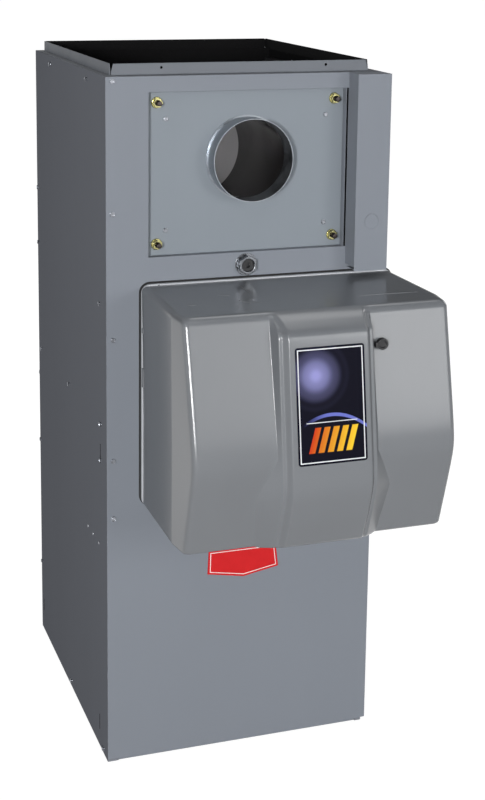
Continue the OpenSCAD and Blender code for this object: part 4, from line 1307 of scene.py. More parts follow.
@dataclass
class FlueOutlet:
    """Flue plate with its studs and nuts, the collar and the observation port."""

    front: float = -308.5
    plate_y: float = -290.5
    # Studs: middle of the four, half of their spacing, ends and thread
    stud_x: float = 5.0
    stud_z: float = 1134.5
    gap_x: float = 172.5
    gap_z: float = 130.0
    stud_front: float = -311.5
    stud_back: float = -284.5
    stud_r: float = 5.0
    stud_end_r: float = 3.9
    pitch: float = 1.5
    thread: float = 0.55
    # Flanged nut
    nut_af: float = 16.0
    nut_long: float = 8.2
    flange_r: float = 10.9
    flange_thick: float = 2.5
    flange_taper: float = 0.88
    # Observation port
    port_z: float = 961.0
    port_r: float = 12.0
    port_af: float = 33.0
    port_long: float = 13.0
    washer_r: float = 21.0
    washer_thick: float = 2.0
    plug_long: float = 10.7
    key_af: float = 10.0
    key_deep: float = 6.0

    @staticmethod
    def hexagon(across: float) -> float:
        """Radius to the corners of a hexagon with a width across its flats."""
        return across / 2 / math.cos(math.pi / 6)

    def corners(self) -> list[Flat]:
        """Places of the four studs."""
        return [(self.stud_x + sx * self.gap_x, self.stud_z + sz * self.gap_z)
                for sx in (-1, 1) for sz in (-1, 1)]

    def stud(self, x: float, z: float) -> bpy.types.Object:
        """Threaded stud along Y, with a chamfered end.

        Args:
            x: Its place across.
            z: Its height.

        Returns:
            The stud.
        """
        length = self.stud_back - self.stud_front
        rows, columns = 110, 24

        def place(column: int, row: int) -> Point:
            """Point on the thread.

            Args:
                column: Step round the stud.
                row: Step along it; the first and the last close the ends.

            Returns:
                The point in millimetres.
            """
            angle = 2 * math.pi * column / columns
            along = length * min(1.0, max(0.0, (row - 1) / (rows - 2)))
            turn = (along / self.pitch + column / columns) % 1.0
            radius = self.stud_r - self.thread * abs(2 * turn - 1) * min(1.0, along)
            radius = min(radius, self.stud_end_r + along) if 0 < row < rows else 0.0
            return (x + radius * math.cos(angle), self.stud_front + along,
                    z + radius * math.sin(angle))

        return Bench.loft("stud", columns, rows, place)

    def studs(self) -> None:
        """The four studs."""
        piece = Bench.join("flue_stud_set", [self.stud(x, z) for x, z in self.corners()])
        complete(piece, Finish.STUD_STEEL, "root", "flue_studs", smooth=50)

    def nut(self) -> bpy.types.Object:
        """Flanged hexagon nut.

        Returns:
            The nut, along +Z, with its seat at the origin.
        """
        parts = []
        for name, radius, depth, foot, sides, taper in (
                ("flange", self.flange_r, self.flange_thick, 0.0, 40, self.flange_taper),
                ("body", self.hexagon(self.nut_af), self.nut_long, 2.3, 6, 1.0)):
            part = Bench.cylinder(name, radius, depth, (0, 0, foot + depth / 2), sides=sides)
            Bench.edit(
                part,
                lambda: Bench.pick(Element.FACE, lambda centre, normal: normal.z > 0.9),
                lambda size=taper: bpy.ops.transform.resize(value=(size, size, 1)))
            Bench.cut(part, Bench.cylinder("bore", self.stud_r + 0.05, 24, (0, 0, 5), sides=32))
            Bench.bevel(part, 0.5, 3)
            parts.append(part)
        return Bench.join("nut", parts)

    def nuts(self) -> None:
        """The four nuts, each turned differently."""
        places = [place_at((x, self.plate_y, z), (0, -1, 0)) @ Matrix.Rotation(0.5 * k, 4, "Z")
                  for k, (x, z) in enumerate(self.corners())]
        complete(Bench.repeat("flue_nut_set", self.nut(), places), Finish.YELLOW_ZINC, "root",
                 "flue_nuts")

    def port_round(self, name: str, radius: float, depth: float, middle: float,
                   sides: int = 48) -> bpy.types.Object:
        """Cylinder on the port's axis.

        Args:
            name: Its name.
            radius: Radius in millimetres.
            depth: Length in millimetres.
            middle: Distance of its middle in front of the cabinet.
            sides: Faces round it.

        Returns:
            The cylinder.
        """
        return Bench.cylinder(name, radius, depth, (0, self.front - middle, self.port_z),
                              (90, 0, 0), sides)

    def port(self) -> None:
        """Chrome bushing with a chamfered hexagon and a dark plug down its bore."""
        parts = []
        for name, radius, depth, middle, sides, rounding in (
                ("washer", self.washer_r, self.washer_thick, 1.0, 56, 0.8),
                ("hexagon", self.hexagon(self.port_af), self.port_long, 8.5, 6, 1.3)):
            part = self.port_round(name, radius, depth, middle, sides)
            Bench.cut(part, self.port_round("bore", self.port_r, 40, 8))
            Bench.bevel(part, rounding, 3)
            parts.append(part)
        complete(Bench.join("port_bushing_hex", parts), Finish.CHROME, "root", "port_bushing")
        end = self.plug_long + 0.3
        plug = self.port_round("port_plug_body", self.port_r - 0.05, self.plug_long,
                               end - self.plug_long / 2)
        Bench.bevel(plug, 0.6)
        key = self.port_round("key", self.hexagon(self.key_af), 2 * self.key_deep, end, 6)
        Bench.cut(plug, key)
        complete(plug, Finish.BLACK_PLASTIC, "plug", "port_plug")

    def build(self) -> None:
        """Builds the outlet's pieces."""
        soften_node("flue_plate", "_sheet", Finish.FLUE_PLATE, 0.5)
        self.studs()
        self.nuts()
        self.port()
        Palette.dress_nodes(Finish.COLLAR, "flue_collar")
        Palette.dress_nodes(Finish.CERAMIC_FIBRE, "flue_gasket")


@dataclass
class WiringBox:
    """Field wiring box at the right of the front."""

    left: float = 199.5
    right: float = 266.5
    front: float = -352.5
    knock_z: float = 1038.0
    knock_r: float = 14.3
    disc_thick: float = 1.1
    dish_rim: float = 2.2
    dish_deep: float = 0.8

    def build(self) -> None:
        """Builds the box and its knockout disc, which is dished."""
        soften_node("wiring_box", "_sheet", Finish.CABINET, 0.5)
        x = (self.left + self.right) / 2
        disc = Bench.cylinder("knockout_disc", self.knock_r - 0.2, self.disc_thick,
                              (x, self.front + 0.1 + self.disc_thick / 2, self.knock_z),
                              (90, 0, 0))
        Bench.recess(disc, (0, -1, 0), self.dish_rim, self.dish_deep, steep=False)
        Bench.bevel(disc, 0.15)
        complete(disc, Finish.CABINET, "root", "knockout")
        Palette.dress_nodes(Finish.RESIN, "terminal_block")
        Palette.dress_nodes(Finish.BLACK_PLASTIC, "limit_switch")


@dataclass
class BurnerCover:
    """Moulded cover over the burner, with rim, seal, label and knob."""

    centre: float = 45.5
    half: float = 245.0
    top: float = 933.0
    bottom: float = 514.0
    back: float = -311.5
    cabinet_y: float = -308.5
    wall: float = 3.0
    # Heights where the bays are deepest, where the panel is, and where the scoops are widest
    bulge_z: float = 685.0
    crest_z: float = 635.0
    scoop_z: float = 620.0
    # Depths there, and how much they fall for each millimetre above and below
    bay_full: float = 314.0
    bay_above: float = 0.248
    bay_below: float = 0.328
    panel_full: float = 337.0
    panel_above: float = 0.151
    panel_below: float = 0.346
    brow_fall: float = 1.52
    # Rolled edges at the top and the foot, of the sides and of the front
    side_rolls: Flat = (12.0, 7.0)
    front_rolls: Flat = (13.0, 8.0)
    # Half outline: centre panel, ledge beside it, bay, and the side with its crease
    face_half: float = 72.5
    face_slope: float = 7.5
    step: float = 11.0
    shoulder: float = 86.5
    bay_start: float = 93.0
    crease: float = 205.0
    crease_out: float = 6.5
    side_taper: float = 3.0
    radii: tuple[float, ...] = (5.0, 3.5, 3.5, 2.5, 12.0, 40.0)
    arc_steps: int = 6
    # Floor, which rises in front of its fold
    fold: float = 262.0
    floor_fade: float = 60.0
    floor_slope: float = 0.006
    fold_slope: float = 0.26
    slots: int = 15
    slot_pitch: float = 26.0
    slot_half: float = 3.0
    slot_near: float = 80.0
    slot_far: float = 190.0
    # Rim and catches
    rim_radius: float = 14.0
    notch: Flat = (-172.0, -168.8)
    clip_heights: tuple[Flat, ...] = ((744.0, 780.0), (846.0, 855.0))
    clip_frame: float = 1.6
    clip_deep: float = 1.2
    # Label
    label_low: float = 682.0
    label_high: float = 881.0
    label_half: float = 63.25
    label_shift: float = 0.7
    label_radius: float = 5.0
    label_thick: float = 0.4
    # Knob and its stud
    knob: Point = (154.0, -585.0, 870.0)
    knob_hole_r: float = 4.5
    grip_r: float = 10.3
    grip_long: float = 9.0
    grip_rim: float = 4.2
    grip_deep: float = 2.6
    neck_r: float = 6.0
    neck_long: float = 3.2
    stud_r: float = 4.0
    stud_end: float = -536.5

    @staticmethod
    def soft_min(a: float, b: float, softness: float) -> float:
        """The smaller of two, with a rounded change from one to the other."""
        return (a + b - math.sqrt((a - b) ** 2 + softness ** 2)) / 2

    def bay_depth(self, z: float) -> float:
        """Depth of the side bays.

        Args:
            z: Height in millimetres.

        Returns:
            The depth in front of the cover's back.
        """
        rise = self.bulge_z - z
        return self.soft_min(self.bay_full + rise * self.bay_above,
                             self.bay_full - rise * self.bay_below, 12)

    def panel_depth(self, z: float) -> float:
        """Depth of the centre panel: brow, long face and return.

        Args:
            z: Height in millimetres.

        Returns:
            The depth in front of the cover's back.
        """
        rise = self.crest_z - z
        face = self.soft_min(self.panel_full + rise * self.panel_above,
                             self.panel_full - rise * self.panel_below, 8)
        brow = self.bay_depth(self.top) + (self.top - z) * self.brow_fall
        return max(self.bay_depth(z) + 1.8, self.soft_min(brow, face, 5))

    def rolled(self, z: float, rolls: Flat) -> float:
        """How far the rolled edges at the top and the foot draw a face in.

        Args:
            z: Height in millimetres.
            rolls: Radius at the top and at the foot.

        Returns:
            The distance in millimetres.
        """
        drawn = 0.0
        for radius, distance in zip(rolls, (self.top - z, z - self.bottom)):
            if distance < radius:
                drawn += radius - math.sqrt(radius ** 2 - (radius - distance) ** 2)
        return drawn

    def corners(self, z: float) -> list[Flat]:
        """Corners of half the outline at a height.

        Args:
            z: Height in millimetres.

        Returns:
            Distance from the centre line and depth of each, from the centre line to the back.
        """
        front_in = self.rolled(z, self.front_rolls)
        panel = self.panel_depth(z) - front_in
        bay = self.bay_depth(z) - front_in
        ledge = max(bay + 1.2, panel - self.step)
        # The face narrows a little under the top, then widens; the scoops flare at the foot
        face = self.face_half + float(np.interp(
            z, [self.top - 30, self.top - 24, self.top], [0.0, -1.6, 8.0]))
        flare = float(np.interp(
            z, [self.bottom, self.scoop_z, self.bulge_z + 5], [20.9, 31.5, 0.0]))
        side = (self.half - self.side_taper + max(0.0, z - self.bulge_z) * 0.01
                - self.rolled(z, self.side_rolls))
        return [(0, panel), (face, panel), (face + self.face_slope, ledge),
                (max(face + self.face_slope + 0.5, self.shoulder), ledge),
                (self.bay_start + flare, bay + 0.4), (side, bay),
                (side + self.crease_out, self.crease), (side + self.side_taper, 0)]

    def rounded(self, corners: Sequence[Flat]) -> list[Flat]:
        """Outline with its corners rounded.

        Args:
            corners: Corner points from the centre line to the back.

        Returns:
            Points along the rounded line, always as many.
        """
        line = [Vector(corners[0])]
        for k in range(1, len(corners) - 1):
            before, here, after = (Vector(corners[i]) for i in (k - 1, k, k + 1))
            to_before, to_after = before - here, after - here
            bend = to_before.angle(to_after, math.pi)
            reach = min(self.radii[k - 1] / math.tan(bend / 2 + 1e-6),
                        0.46 * to_before.length, 0.46 * to_after.length)
            first = here + to_before.normalized() * reach
            last = here + to_after.normalized() * reach
            start = line[-1]
            line += [start.lerp(first, share) for share in (0.33, 0.67)]
            for i in range(self.arc_steps + 1):
                t = i / self.arc_steps
                line.append(first * (1 - t) ** 2 + here * 2 * t * (1 - t) + last * t ** 2)
        line += [line[-1].lerp(Vector(corners[-1]), share) for share in (0.25, 0.5, 0.75, 1.0)]
        return [(p.x, p.y) for p in line]

    def stations(self) -> list[float]:
        """Heights of the outlines, closer together where an edge rolls over.

        Returns:
            The heights in millimetres, from the foot up.
        """
        # Distances from the foot and from the top, with even steps between
        low = [0, 0.15, 0.6, 1.4, 2.6, 4.4, 7, 11, 18, 28, 40, 55]
        high = [42, 36, 31, 28, 25, 22.5, 20, 17, 14, 11, 8.5, 6, 4, 2.4, 1.2, 0.5, 0.12, 0]
        middle = np.linspace(self.bottom + 66, self.top - 50, 34)
        return ([self.bottom + d for d in low] + [float(z) for z in middle]
                + [self.top - d for d in high])

    def height_at(self, z: float, depth: float) -> float:
        """Height of a point of the outline, as the floor rises towards the front.

        Args:
            z: Height of the outline at the back.
            depth: Depth of the point.

        Returns:
            The point's height.
        """
        fade = max(0.0, 1 - (z - self.bottom) / self.floor_fade)
        return z + fade * (self.floor_slope * depth
                           + self.fold_slope * max(0.0, depth - self.fold))

    def shell(self) -> bpy.types.Object:
        """The moulding, hollow and open at the back, with slots and a knob hole.

        Returns:
            The piece, settled but not dressed.
        """
        table = []
        for z in self.stations():
            half = self.rounded(self.corners(z))
            full = [(-x, d) for x, d in reversed(half)] + half[1:]
            table.append([(self.centre + x, self.back - d, self.height_at(z, d))
                          for x, d in full])
        columns, rows = len(table[0]) - 1, len(table) - 1
        piece = Bench.loft("burner_cover_shell", columns, rows, lambda c, r: table[r][c],
                           merge=False)
        self.close(piece, table)
        Bench.edit(piece, lambda: bpy.ops.mesh.normals_make_consistent(inside=False))
        Bench.modify(piece, "SOLIDIFY", thickness=self.wall * MM, offset=-1.0,
                     use_even_offset=True, use_rim=True)
        Bench.cut(piece, self.cutters())
        Bench.settle(piece, 32)
        for face in piece.data.polygons:
            if abs(face.normal.z) > 0.9995:
                face.use_smooth = False
        return piece

    def close(self, piece: bpy.types.Object, table: list[list[Point]]) -> None:
        """Closes the top with one face, and the floor with two that meet at its fold.

        Args:
            piece: The lofted wall.
            table: Its points in millimetres, row by row from the foot up.
        """
        def key(place: Vector) -> Point:
            """Place in millimetres, as a key."""
            return tuple(round(c, 4) for c in place / MM)

        mesh = bmesh.new()
        mesh.from_mesh(piece.data)
        found = {key(vertex.co): vertex for vertex in mesh.verts}
        for row, folds in ((table[0], True), (table[-1], False)):
            ring = [found[key(Vector(point) * MM)] for point in row]
            last, fold = len(ring) - 1, 0
            while folds and self.back - row[fold + 1][1] <= self.fold:
                fold += 1
            if fold:
                mesh.faces.new(ring[:fold + 1] + ring[last - fold:])
            mesh.faces.new(ring[fold:last - fold + 1])
        mesh.to_mesh(piece.data)
        mesh.free()

    def cutters(self) -> bpy.types.Object:
        """Tools for the air slots and the knob's hole.

        Returns:
            The tools as one piece.
        """
        tools = []
        for k in range(self.slots):
            x = self.centre + (k - self.slots // 2) * self.slot_pitch
            slot = Bench.block(
                "slot", (x - self.slot_half, self.back - self.slot_far, self.bottom - 5),
                (x + self.slot_half, self.back - self.slot_near, self.bottom + 17))
            tools.append(slot)
        hole = Bench.cylinder("hole", self.knob_hole_r, 60, self.knob, (90, 0, 0), 24)
        Bench.take(hole)
        bpy.ops.object.transform_apply(location=True, rotation=True, scale=True)
        tools.append(hole)
        return Bench.join("tools", tools)

    def front_of(self, distance: float) -> float:
        """Y of a point at a distance in front of the cabinet."""
        return self.cabinet_y - distance

    def rim(self) -> None:
        """Rolled rim round the open back, with a notch, in a much lighter copy of the cover
        plastic as painted highlight.
        """
        radius, steps = self.rim_radius, 8
        across, low, high = self.half - radius, self.bottom + radius, self.top - radius
        path = []
        for cx, cz, start in ((across, high, 0), (-across, high, 90), (-across, low, 180),
                              (across, low, 270)):
            for i in range(steps + 1):
                angle = math.radians(start + 90 * i / steps)
                path.append((cx, cz, math.cos(angle), math.sin(angle)))
        profile = [(-2.6, 0.0), (2.6, 0.0), (3.0, 0.5), (3.0, 3.4), (2.6, 4.8), (1.7, 5.7),
                   (0.6, 6.0), (-0.9, 6.0), (-2.4, 5.6), (-2.6, 4.0)]

        def place(column: int, row: int) -> Point:
            """Point of the rim.

            Args:
                column: Step round the profile.
                row: Step along the path.

            Returns:
                The point in millimetres.
            """
            cx, cz, ax, az = path[row % len(path)]
            out, deep = profile[column % len(profile)]
            reach = radius + out
            return (self.centre + cx + reach * ax, self.back - deep, cz + reach * az)

        piece = Bench.loft("burner_cover_rim", len(profile), len(path), place)
        left, right = self.notch
        Bench.cut(piece, Bench.block("notch", (left, self.back - 9, self.top - 1.5),
                                     (right, self.back - 1.2, self.top + 5)))
        complete(piece, Finish.COVER_EDGE, "cover")

    def clips(self) -> None:
        """Moulded catches on the left rim, as raised frames."""
        parts = []
        x = self.centre - self.half
        for low, high in self.clip_heights:
            clip = Bench.block("clip", (x - 2.9, self.back - 13, low),
                               (x + 1.5, self.back - 4, high))
            Bench.recess(clip, (-1, 0, 0), self.clip_frame, self.clip_deep)
            Bench.bevel(clip, 0.5)
            parts.append(clip)
        complete(Bench.join("burner_cover_clips", parts), Finish.COVER, "cover")

    def marks(self) -> None:
        """Fine marks on the cover's top: pale mould beads, and near-black strips as painted shade
        in seam grooves.
        """
        self.beads("burner_cover_marks", Finish.COVER, 1.3, 1.2, [
            [(-166, 163), (-163, 168), (-156, 171), (-149, 169), (-145, 164)],
            [(-64, 148), (-66, 158), (-63, 168), (-58, 175), (-52, 180)],
            [(143, 184), (180, 185), (225, 185.5), (270, 186)],
            [(-92, 112), (-80, 118), (-70, 121)],
        ])
        # Near-black strips stand for the shade in narrow seam grooves: painted shade.
        self.beads("burner_cover_scores", Finish.BLACK_PLASTIC, 1.0, 0.3, [
            [(-29.5, 37), (-29.5, 64), (-29.3, 90), (-29.0, 118)],
            [(-52, 176), (-44, 181), (-30, 183)],
        ])

    def beads(self, name: str, finish: Finish, half: float, high: float,
              lines: Sequence[Sequence[Flat]]) -> None:
        """Low half-round beads on the cover's top.

        Args:
            name: The piece's name.
            finish: Its finish.
            half: Half of a bead's width in millimetres.
            high: Its height in millimetres.
            lines: Points of each bead as x and distance in front of the cabinet.
        """
        columns, rows = 6, 16
        parts = []
        for line in lines:
            def place(column: int, row: int, line: Sequence[Flat] = line) -> Point:
                """Point of a low half-round bead along the line.

                Args:
                    column: Step over the bead.
                    row: Step along it.
                    line: Points of the bead.

                Returns:
                    The point in millimetres.
                """
                share = row / rows * (len(line) - 1)
                k = min(int(share), len(line) - 2)
                here = Vector(line[k]).lerp(Vector(line[k + 1]), share - k)
                way = (Vector(line[k + 1]) - Vector(line[k])).normalized()
                turn = math.pi * column / columns
                fade = math.sin(math.pi * row / rows) ** 0.5 if 0 < row < rows else 0.0
                side = half * math.cos(turn) * fade
                return (here.x - way.y * side, self.front_of(here.y + way.x * side),
                        self.top - 0.15 + high * math.sin(turn) * fade)

            parts.append(Bench.loft("mark", columns, rows, place))
        complete(Bench.join(name, parts), finish, "cover")

    def label(self) -> None:
        """Printed plate on the centre panel, which follows the panel's face."""
        columns, rows = 10, 18
        middle = self.centre + self.label_shift
        x0, x1 = middle - self.label_half, middle + self.label_half

        def place(column: int, row: int) -> Point:
            """Point of the plate's back.

            Args:
                column: Step across.
                row: Step up.

            Returns:
                The point in millimetres.
            """
            z = self.label_low + (self.label_high - self.label_low) * row / rows
            x = x0 + (x1 - x0) * column / columns
            return (x, self.back - self.panel_depth(z) - 0.25, z)

        piece = Bench.loft("cover_label", columns, rows, place)
        ends = [(x, z) for x in (x0, x1) for z in (self.label_low, self.label_high)]
        Bench.edit(
            piece,
            lambda: Bench.pick(Element.VERT, lambda centre, normal: any(
                abs(centre.x - x) < 0.1 and abs(centre.z - z) < 0.1 for x, z in ends)),
            lambda: bpy.ops.mesh.bevel(
                offset=self.label_radius * MM, segments=5, affect="VERTICES"),
            lambda: bpy.ops.mesh.select_all(action="SELECT"),
            lambda: bpy.ops.mesh.normals_make_consistent(inside=False))
        self.face_front(piece)
        Bench.modify(piece, "SOLIDIFY", thickness=self.label_thick * MM, offset=1.0)
        Bench.settle(piece, outward=False)
        self.map_label(piece, x0, x1)
        Palette.dress(piece, Finish.ART)
        mount(piece, "cover")

    @staticmethod
    def face_front(piece: bpy.types.Object) -> None:
        """Turns an open sheet so that it faces -Y."""
        if sum(face.normal.y * face.area for face in piece.data.polygons) > 0:
            Bench.edit(piece, lambda: bpy.ops.mesh.flip_normals())

    def map_label(self, piece: bpy.types.Object, x0: float, x1: float) -> None:
        """Sets the label's UV map from the place of each point.

        Args:
            piece: The label.
            x0: Its left edge in millimetres.
            x1: Its right edge in millimetres.
        """
        layer = piece.data.uv_layers[0]
        for loop in piece.data.loops:
            co = piece.data.vertices[loop.vertex_index].co / MM
            layer.data[loop.index].uv = (
                (co.x - x0) / (x1 - x0),
                (co.z - self.label_low) / (self.label_high - self.label_low))

    def knob_piece(self) -> None:
        """Captive knob with a finger tab, a dished face and its long stud."""
        x, _, z = self.knob
        y = self.back - self.bay_depth(z - 6) - 0.8
        body = Bench.cylinder("body", self.grip_r, self.grip_long,
                              (x, y - 3.0 - self.grip_long / 2, z), (90, 0, 0), 40)
        Bench.recess(body, (0, -1, 0), self.grip_rim, self.grip_deep)
        Bench.bevel(body, 1.4, 4)
        neck = Bench.cylinder("neck", self.neck_r, self.neck_long,
                              (x, y + 0.1 - self.neck_long / 2, z), (90, 0, 0), 32)
        Bench.bevel(neck, 0.3)
        length = self.stud_end - y
        stud = Bench.cylinder("stud", self.stud_r, length, (x, y + length / 2, z),
                              (90, 0, 0), 28)
        Bench.bevel(stud, 0.8)
        tab = Bench.block("tab", (x - 15.2, y - 15, z - 5.2), (x - 9.2, y - 6, z + 5.2))
        Bench.bevel(tab, 2.4, 4)
        web = Bench.block("web", (x - 12.2, y - 10, z - 2), (x - 4, y - 6, z + 2))
        Bench.bevel(web, 0.6)
        complete(Bench.join("cover_knob_grip", [body, neck, stud, tab, web]),
                 Finish.BLACK_PLASTIC, "knob", "cover_knob")

    def build(self) -> None:
        """Builds the cover's pieces."""
        shell = self.shell()
        Palette.dress(shell, Finish.COVER)
        mount(shell, "cover", "burner_cover")
        self.rim()
        self.clips()
        self.marks()
        self.label()
        self.knob_piece()
        Palette.dress_nodes(Finish.FOAM, "cover_gasket")
        Palette.dress_nodes(Finish.GALVANISED, "cover_bracket")


@dataclass
class Burner:
    """Oil burner behind the cover: castings, motor, pump, lines and control."""

    # Finish, width of the rounding and body of each
    rounding: dict[str, tuple[Finish, float, str]] = field(default_factory=lambda: {
        "burner_housing": (Finish.CASTING, 1.2, "root"),
        "fuel_pump": (Finish.PUMP, 0.8, "root"),
        "burner_motor": (Finish.MOTOR, 0.8, "root"),
        "igniter": (Finish.BLACK_PLASTIC, 1.5, "root"),
        "primary_control": (Finish.CONTROL_GREY, 1.5, "root"),
        "reset_button": (Finish.RED, 0.8, "reset"),
        "burner_flange": (Finish.CASTING, 0.6, "root"),
        "air_shutter": (Finish.SHUTTER, 0.3, "shutter"),
    })

    def build(self) -> None:
        """Rounds the housings and dresses the rest."""
        for node, (finish, width, body) in self.rounding.items():
            soften_node(node, "_body", finish, width, body)
        Palette.dress_nodes(Finish.WHEEL, "burner_wheel", "retention_head")
        Palette.dress_nodes(Finish.GALVANISED, "air_tube")
        Palette.dress_nodes(Finish.BRASS, "nozzle_line")
        Palette.dress_nodes(Finish.COPPER, "oil_line")
        Palette.dress_nodes(Finish.PORCELAIN, "electrodes")
        Palette.dress_nodes(Finish.CERAMIC_FIBRE, "burner_gasket")


@dataclass
class HeatExchanger:
    """Drums, neck, refractory and cradle."""

    def build(self) -> None:
        """Dresses the heat exchanger."""
        Palette.dress_nodes(Finish.DRUM, "primary_drum", "crossover_neck")
        Palette.dress_nodes(Finish.HEAT_BLACK, "flue_drum")
        Palette.dress_nodes(Finish.END_PLATE, "flue_drum_end")
        Palette.dress_nodes(Finish.CERAMIC_FIBRE, "refractory_liner")
        Palette.dress_nodes(Finish.GALVANISED, "drum_cradle", "observation_tube")


@dataclass
class MainBlower:
    """Squirrel-cage blower, its motor, rails and controls."""

    def build(self) -> None:
        """Dresses the blower and what is mounted beside it."""
        Palette.dress_nodes(Finish.GALVANISED, "blower_housing", "blower_wheel", "motor_arms",
                            "blower_rails")
        for node, finish, width in (("blower_motor", Finish.MOTOR, 2.0),
                                    ("transformer", Finish.MOTOR, 0.8),
                                    ("door_switch", Finish.BLACK_PLASTIC, 0.8)):
            soften_node(node, "_body", finish, width, segments=3)
        Palette.dress_nodes(Finish.BOARD, "control_board")
        Palette.dress_nodes(Finish.NYLON, "switch_plunger")


@dataclass
class RearDoor:
    """Blower door with its pull and thumb screws."""

    def build(self) -> None:
        """Builds the door's pieces."""
        for node, finish, width, body in (
                ("blower_door", Finish.CABINET, 0.45, "door"),
                ("door_pull", Finish.BLACK_PLASTIC, 0.6, "door"),
                ("door_screw_left", Finish.SCREW_ZINC, 0.35, "left_door_screw"),
                ("door_screw_right", Finish.SCREW_ZINC, 0.35, "right_door_screw")):
            soften_node(node, "_part", finish, width, body)


@dataclass(frozen=True)
class Lamp:
    """Square area lamp that aims at the middle of the furnace.

    Side and rise are degrees to the right of the front and above the level, reach and size are
    metres, and power is in watts.
    """

    name: str
    side: float
    rise: float
    reach: float
    size: float
    power: float
    aim: Point = (0.0, -0.3, 0.8)

    def hang(self) -> None:
        """Adds the lamp to the scene."""
        data = bpy.data.lights.new(self.name, "AREA")
        data.shape = "RECTANGLE"
        data.size = data.size_y = self.size
        data.energy = self.power
        lamp = bpy.data.objects.new(self.name, data)
        bpy.context.scene.collection.objects.link(lamp)
        across, up = math.radians(self.side), math.radians(self.rise)
        way = Vector((math.sin(across) * math.cos(up), -math.cos(across) * math.cos(up),
                      math.sin(up)))
        lamp.location = Vector(self.aim) + way * self.reach
        lamp.rotation_mode = "QUATERNION"
        lamp.rotation_quaternion = (-way).to_track_quat("-Z", "Y")


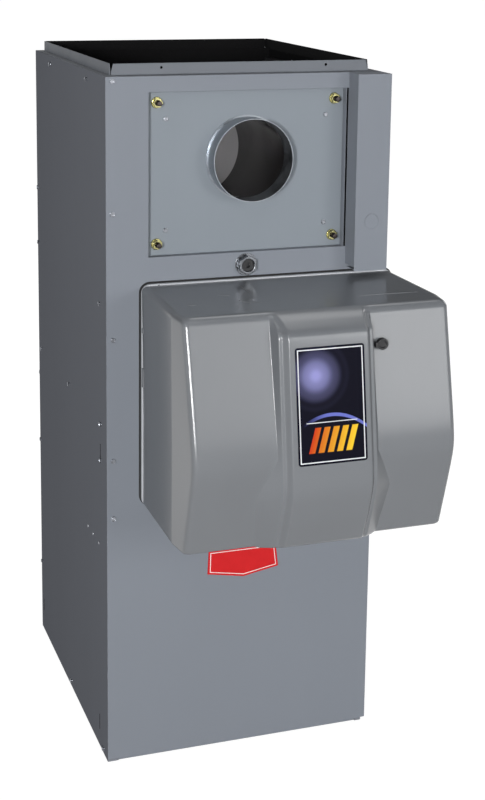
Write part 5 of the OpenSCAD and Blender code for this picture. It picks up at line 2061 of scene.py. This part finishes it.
@dataclass
class Studio:
    """Camera, pale floor, room and lamps; the eye is in millimetres, its turns in radians."""

    eye: Point = (-913.27, -2918.26, 1570.20)
    yaw: float = 0.333932016
    pitch: float = -0.180124005
    tilt: float = 0.0123508966
    lens: float = 68.47467
    shift: float = -0.24
    floor_grey: float = 0.17
    glow_near: float = 0.7
    glow_far: float = 2.0
    glow_least: float = 0.94
    glow_more: float = 0.06
    room_dark: Colour = (0.06, 0.06, 0.062)
    lamps: tuple[Lamp, ...] = (
        Lamp("key", -29, 9, 7.5, 0.7, 366),
        Lamp("upper", -28, 34, 5.0, 1.2, 12),
        Lamp("top", 123, 67, 4.2, 1.4, 19),
        Lamp("right", 31, 11, 5.0, 1.5, 42),
        Lamp("gleam", 16, 12, 5.0, 1.5, 20),
        Lamp("near", -16, 9, 6.0, 0.6, 76),
        Lamp("edge_left", -74, 14, 5.0, 0.35, 8),
        Lamp("edge_top", 18, 58, 4.5, 0.4, 5),
        Lamp("back_right", 112, 18, 4.8, 2.0, 40),
        Lamp("back", -172, 40, 4.8, 2.0, 35))

    def camera(self) -> None:
        """Camera at the photograph's place and angle."""
        ahead = Vector((math.sin(self.yaw) * math.cos(self.pitch),
                        math.cos(self.yaw) * math.cos(self.pitch), math.sin(self.pitch)))
        across = Vector((math.cos(self.yaw), -math.sin(self.yaw), 0))
        above = across.cross(ahead)
        c, s = math.cos(self.tilt), math.sin(self.tilt)
        right = across * c + above * s
        up = above * c - across * s
        data = bpy.data.cameras.new("camera")
        data.lens = self.lens
        data.sensor_width = 36.0
        data.shift_y = self.shift
        data.clip_end = 300.0
        camera = bpy.data.objects.new("camera", data)
        bpy.context.scene.collection.objects.link(camera)
        basis = Matrix((right, up, -ahead)).transposed().to_4x4()
        camera.matrix_world = Matrix.Translation(Vector(self.eye) * MM) @ basis
        bpy.context.scene.camera = camera

    def floor(self) -> None:
        """Large floor that glows to the eye, white far off and a little duller at the furnace."""
        Bench.clear()
        bpy.ops.mesh.primitive_plane_add(size=400, location=(0, 0, -0.0006))
        floor = Bench.named("floor")
        s = Shader("floor")
        grey = (self.floor_grey,) * 3
        s.set(Base_Color=s.shade(grey, s.noise(0.8), 0.01), Roughness=0.9,
              Specular_IOR_Level=0.0)
        rays = s.node("ShaderNodeLightPath")
        seen = Value(s, rays.outputs["Is Camera Ray"]).most(
            Value(s, rays.outputs["Is Glossy Ray"])).most(
            Value(s, rays.outputs["Is Transmission Ray"]))
        x, y, _ = s.axes(s.place())
        reach = (x ** 2.0 + y ** 2.0).maths("SQRT")
        far = reach.step(self.glow_near, self.glow_far)
        glow = s.node("ShaderNodeEmission", None, {
            "Color": (1, 1, 1), "Strength": seen * (far * self.glow_more + self.glow_least)})
        both = s.node("ShaderNodeAddShader", None, {
            0: s.skin.outputs[0], 1: glow.outputs[0]})
        s.feed(s.tree.nodes["Material Output"].inputs["Surface"], both.outputs[0])
        floor.data.materials.append(s.material)

    def world(self) -> None:
        """Dark room that turns white towards the horizon, except for diffuse light."""
        world = bpy.data.worlds.new("room")
        bpy.context.scene.world = world
        world.use_nodes = True
        tree = world.node_tree
        back = tree.nodes["Background"]
        source = tree.nodes.new("ShaderNodeTexCoord")
        parts = tree.nodes.new("ShaderNodeSeparateXYZ")
        ramp = tree.nodes.new("ShaderNodeValToRGB")
        stops = ramp.color_ramp.elements
        stops[0].color = (1, 1, 1, 1)
        stops[1].position = 0.16
        stops[1].color = (*self.room_dark, 1)
        stops.new(0.04).color = (0.9, 0.9, 0.9, 1)
        tree.links.new(source.outputs["Generated"], parts.inputs[0])
        tree.links.new(parts.outputs[2], ramp.inputs[0])
        rays = tree.nodes.new("ShaderNodeLightPath")
        pick = tree.nodes.new("ShaderNodeMix")
        pick.data_type = "RGBA"
        pick.inputs[7].default_value = (*self.room_dark, 1)
        tree.links.new(rays.outputs["Is Diffuse Ray"], pick.inputs[0])
        tree.links.new(ramp.outputs[0], pick.inputs[6])
        tree.links.new(pick.outputs[2], back.inputs["Color"])

    def build(self) -> None:
        """Sets the stage."""
        scene = bpy.context.scene
        scene.view_settings.view_transform = "Standard"
        self.camera()
        self.floor()
        self.world()
        for lamp in self.lamps:
            lamp.hang()


def main() -> None:
    """Builds the scene."""
    logging.basicConfig(level=logging.INFO, format="%(name)s: %(message)s")
    Studio().build()
    for assembly in (Cabinet(), FlueOutlet(), WiringBox(), BurnerCover(), Burner(),
                     HeatExchanger(), MainBlower(), RearDoor()):
        assembly.build()
        LOG.info("finished %s", type(assembly).__name__)


if __name__ == "__main__":
    main()
